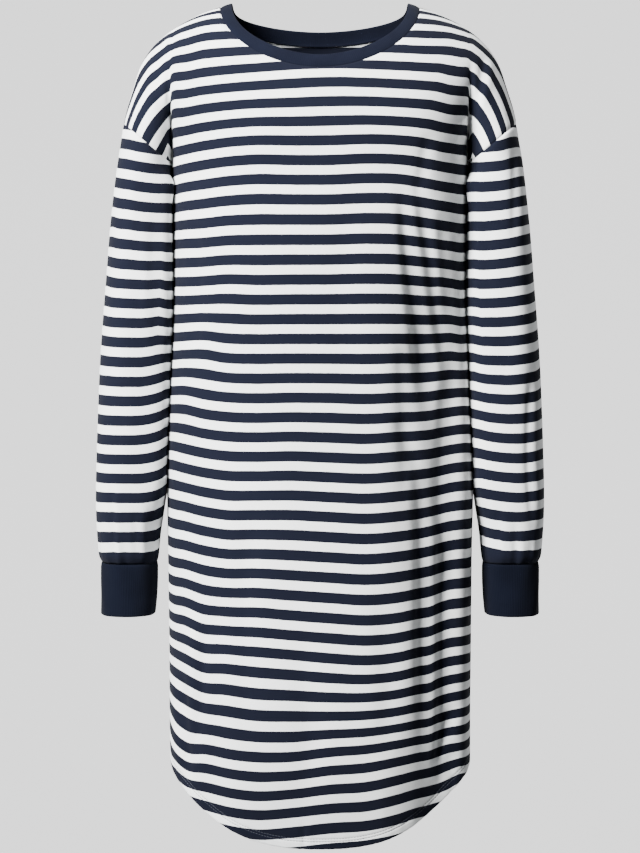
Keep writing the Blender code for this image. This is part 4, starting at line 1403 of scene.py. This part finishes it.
def make_sleeve(label, hand):
    """One sleeve as a finished piece."""
    grid, angle, ring = sleeve_grid(hand)
    points, z = grid.reshape(-1, 3), grid[..., 2]
    outwards = away_from(points, hand * CUFF_TOP["x"], CUFF_TOP["y"] / 2)
    cells = facing_out(points, ring_cells(np.arange(z.size).reshape(z.shape)), outwards)
    normals = point_normals(points, cells)
    below, above = ring[:, 2] - z, z - CUFF_SEAM_Z
    sewn = bell(below, SEAM_SOFT) + bell(above, 0.0016)
    calm = smooth(below / 0.030) * smooth(above / 0.0030 + 0.4)
    height = sleeve_relief(grid, angle, z, label) * calm - SEAM_DIP * np.clip(sewn, 0, 1)
    shaped = points + normals * height.reshape(-1, 1)
    normals = point_normals(shaped, cells)
    every, faces = wall_of(shaped, cells, normals, CLOTH)
    stripe = on_table(np.abs(grid[..., 0]), z, SLEEVE_STRIPE_X, SLEEVE_STRIPES[label])
    stripe = np.minimum(stripe, SLEEVE_LAST_STRIPE).ravel()
    round_it = np.broadcast_to(angle * SLEEVE_RADIUS, z.shape).ravel()
    maps = {"stripe": np.tile(np.stack([round_it, stripe], axis=-1), (2, 1)),
            "knit": np.tile(np.stack([round_it, points[:, 2]], axis=-1), (2, 1))}
    return add_mesh("sleeve_" + label + "_cloth", every, faces, maps, striped)


HANDS = {"left": -1.0, "right": 1.0}
sleeves = {label: make_sleeve(label, hand) for label, hand in HANDS.items()}

# %% [markdown]
# ## Cuffs
#
# A cuff is a strip of rib joined into a ring and folded in half, so its lower edge is a soft fold
# and its wall is double. The section through that wall, from the seam down the outside, round the
# fold and up the inside, is a profile, and the profile is carried round the ring.

# %% Cuffs
CUFF_WALL = 0.0021
CUFF_ROUND_STEPS = 168
CUFF_ROWS = 22
CUFF_RADIUS = 0.031
# How the sewn edge of a band dips in, as one bell curve from the seam
SEAM_IN = {"depth": 0.0006, "half": 0.0022}


def folded_profile(length, wall, rows):
    """Down the outside, half a circle round the fold, and up the inside: distance down, and
    distance in from the outer face."""
    straight = np.linspace(0, length - wall / 2, rows)
    turn = np.linspace(0, math.pi, 9)[1:-1]
    down = np.concatenate([straight, length - wall / 2 + np.sin(turn) * wall / 2, straight[::-1]])
    inwards = np.concatenate([np.zeros(rows), wall / 2 * (1 - np.cos(turn)), np.full(rows, wall)])
    return down, inwards


def make_cuff(label, hand):
    """The folded profile carried round the cuff's ring, a little fuller in the middle."""
    length = CUFF_SEAM_Z - CUFF_END_Z
    down, inwards = folded_profile(length, CUFF_WALL, CUFF_ROWS)
    share = np.clip(down / length, 0, 1)[:, None]
    angle = np.linspace(0, 2 * math.pi, CUFF_ROUND_STEPS + 1)[:-1]
    size = {k: CUFF_TOP[k] + (CUFF_END[k] - CUFF_TOP[k]) * share for k in CUFF_TOP}
    swell = 0.0005 * np.sin(math.pi * share) - SEAM_IN["depth"] * bell(down, SEAM_IN["half"])[:, None]
    wave = 0.0005 * np.sin(3 * angle + 1.0 + 2.2 * share) * share
    wave = wave + 0.0003 * np.sin(7 * angle + 4 * share)
    grow = swell + wave - inwards[:, None]
    x, y = tube_section(angle, size["x"], size["half"] + grow,
                        size["y"], size["depth"] + grow, SLEEVE_SQUARE)
    z = np.broadcast_to(CUFF_SEAM_Z - down[:, None], x.shape)
    points = np.stack([hand * x, y, z], axis=-1).reshape(-1, 3)
    outer = (np.arange(len(points)) < len(down) // 2 * CUFF_ROUND_STEPS)[:, None]
    looks = away_from(points, hand * CUFF_TOP["x"], CUFF_TOP["y"]) * outer
    cells = folded_cells(np.arange(len(points)).reshape(x.shape), points, looks)
    round_it = np.broadcast_to(angle * CUFF_RADIUS, x.shape).ravel()
    maps = {"knit": np.stack([round_it, np.broadcast_to(-down[:, None], x.shape).ravel()], axis=-1)}
    # The cuffs take the darker rib, whose navy is painted shade.
    return add_mesh("cuff_" + label + "_rib", points, cells, maps, shaded_cuff_rib)


cuffs = {label: make_cuff(label, hand) for label, hand in HANDS.items()}

# %% [markdown]
# ## Neckband
#
# The neckband is a doubled strip of rib sewn round the neckline. It lies inwards over the
# shoulders and stands up at the front and the back, because a straight strip has to go round a
# curve. The same folded profile is carried along the neckline, tilted by a lean that changes on
# the way round.

# %% Neckband
BAND_WALL = 0.0021
BAND_STEPS = 84
BAND_ROWS = 12
BAND_HEIGHT = 0.0150
BAND_SWELL = 0.0004


def make_neckband():
    """The folded profile carried along the neckline: along the band's rise for the distance out,
    and against its own direction for the distance in."""
    lines = [neckline_points(both_halves(neck_breadths(side, BAND_STEPS)), side) for side in FACING]
    seam = np.concatenate([lines[0], lines[1][-2:0:-1]])
    seam[0, 1] = seam[len(lines[0]) - 1, 1] = 0.0
    is_front = seam[:, 1] <= 0
    sideways = np.clip(np.abs(seam[:, 0]) / NECK_HALF, 0, 1) ** 3
    width = np.where(is_front, BAND_WIDTH["front"], BAND_WIDTH["back"])
    width = width + (BAND_WIDTH["side"] - width) * sideways
    lean = np.where(is_front, BAND_LEAN["front"], BAND_LEAN["back"])
    lean = lean + (BAND_LEAN["side"] - lean) * sideways
    inwards = unit(-np.c_[seam[:, 0] / NECK_HALF ** 2, seam[:, 1] / 0.1 ** 2])
    rise = np.c_[inwards * lean[:, None], np.sqrt(1 - lean ** 2)]
    along = unit(np.roll(seam, -1, axis=0) - np.roll(seam, 1, axis=0))
    rise = unit(rise - along * (rise * along).sum(axis=1)[:, None])
    out = np.cross(along, rise)
    out *= np.sign((out[:, :2] * seam[:, :2]).sum(axis=1) + 1e-9)[:, None]
    share, depth = folded_profile(1.0, BAND_WALL / BAND_HEIGHT, BAND_ROWS)
    up = share[:, None] * width[None, :]
    swell = BAND_SWELL * np.sin(math.pi * np.clip(share, 0, 1))[:, None]
    inset = depth[:, None] * BAND_HEIGHT + SEAM_IN["depth"] * bell(up, SEAM_IN["half"]) - swell
    points = seam[None] + rise[None] * up[..., None] - out[None] * inset[..., None]
    flat = points.reshape(-1, 3)
    outer = (np.arange(len(flat)) < BAND_ROWS * len(seam))[:, None]
    looks = np.tile(out, (len(share), 1)) * outer
    cells = folded_cells(np.arange(len(flat)).reshape(up.shape), flat, looks)
    round_it = distance_along(seam)
    maps = {"knit": np.stack([np.broadcast_to(round_it, up.shape).ravel(), up.ravel()], axis=-1)}
    return add_mesh("neckband_rib", flat, cells, maps, navy_rib)


neckband = make_neckband()

# %% [markdown]
# ## Each piece on the body
#
# Every piece rides on the one body and stands in for its solid, which is hidden.


def declare(piece, node, extra=()):
    """The piece and the extra pieces ride on the body, and its solid is hidden."""
    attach(piece, "root")
    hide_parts(node)
    for added in extra:
        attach(added, "root")


for side in ("front", "back"):
    declare(panels[side][0], side, [stitches[side]])
for label in HANDS:
    declare(sleeves[label], "sleeve_" + label)
    declare(cuffs[label], "cuff_" + label)
declare(neckband, "neckband")

# %% [markdown]
# ## The studio
#
# The photograph has an even pale grey ground and soft light from the upper left. A floor that
# curves up into a wall gives a ground with no edge. It glows a little, because lamps alone leave
# it uneven. A key light and a weaker one from above give shade that changes slowly over the
# folds.

# %% Floor, wall and lights
FLOOR_Z = -4.0
WALL_Y = 6.5
WALL_TOP = 9.0
SWEEP = 2.5
# The paper's grey, how strongly it glows, and the strength of the air's own light
GROUND = 0.40
GROUND_GLOW = 1.33
WORLD = 0.14

# Each light's place, what it looks at, its size and its power
LIGHTS = {
    "key_light": ((-1.52, -1.85, 0.9), (0.0, 0.0, -0.35), 0.9, 455.0),
    "top_light": ((0.1, -0.3, 2.2), (0.0, 0.0, -0.3), 1.4, 60.0),
}


def add_ground():
    """A floor, a quarter circle and a wall as one profile, swept along x."""
    turn = np.linspace(0, math.pi / 2, 24)
    floor_y = np.linspace(-0.8, WALL_Y - SWEEP, 8)[:-1]
    y = np.concatenate([floor_y, WALL_Y - SWEEP + SWEEP * np.sin(turn), [WALL_Y]])
    z = np.concatenate([np.full(7, FLOOR_Z), FLOOR_Z + SWEEP * (1 - np.cos(turn)), [WALL_TOP]])
    x, y, z = np.broadcast_arrays(np.linspace(-9.0, 9.0, 10), y[:, None], z[:, None])
    flat = np.stack([x, y, z], axis=-1).reshape(-1, 3)
    material, tree, shader = new_material("studio_paper", 0.95, 0.0, 0.05)
    place = tree.nodes.new("ShaderNodeTexCoord").outputs["Object"]
    grain = noise_node(tree, place, 3.0, 2.0)
    low, high = (GROUND * 0.995,) * 3 + (1.0,), (GROUND * 1.005,) * 3 + (1.0,)
    tree.links.new(mix_colours(tree, grain, low, high), shader.inputs["Base Color"])
    shader.inputs["Emission Color"].default_value = (0.995, 0.998, 1.0, 1.0)
    shader.inputs["Emission Strength"].default_value = GROUND_GLOW
    upwards = np.broadcast_to(np.array([0.0, -1.0, 1.0]), flat.shape)
    cells = facing_out(flat, cells_of(np.arange(x.size).reshape(x.shape)), upwards)
    return add_mesh("studio_ground", flat, cells, {"knit": flat[:, :2]}, material)


def add_area_light(name, place, target, size, power):
    """A square area light at a place that looks at a target."""
    data = bpy.data.lights.new(name, "AREA")
    data.shape = "SQUARE"
    data.size = size
    data.energy = power
    light = bpy.data.objects.new(name, data)
    light.location = place
    light.rotation_euler = (Vector(target) - Vector(place)).to_track_quat("-Z", "Y").to_euler()
    bpy.context.scene.collection.objects.link(light)
    return light


def set_world(strength):
    """An even pale sky that fills the shade."""
    world = bpy.data.worlds.new("studio_air")
    world.use_nodes = True
    shade = world.node_tree.nodes["Background"]
    shade.inputs["Color"].default_value = (0.93, 0.965, 1.0, 1.0)
    shade.inputs["Strength"].default_value = strength
    bpy.context.scene.world = world


add_ground()
set_world(WORLD)
for name, (place, target, size, power) in LIGHTS.items():
    add_area_light(name, place, target, size, power)
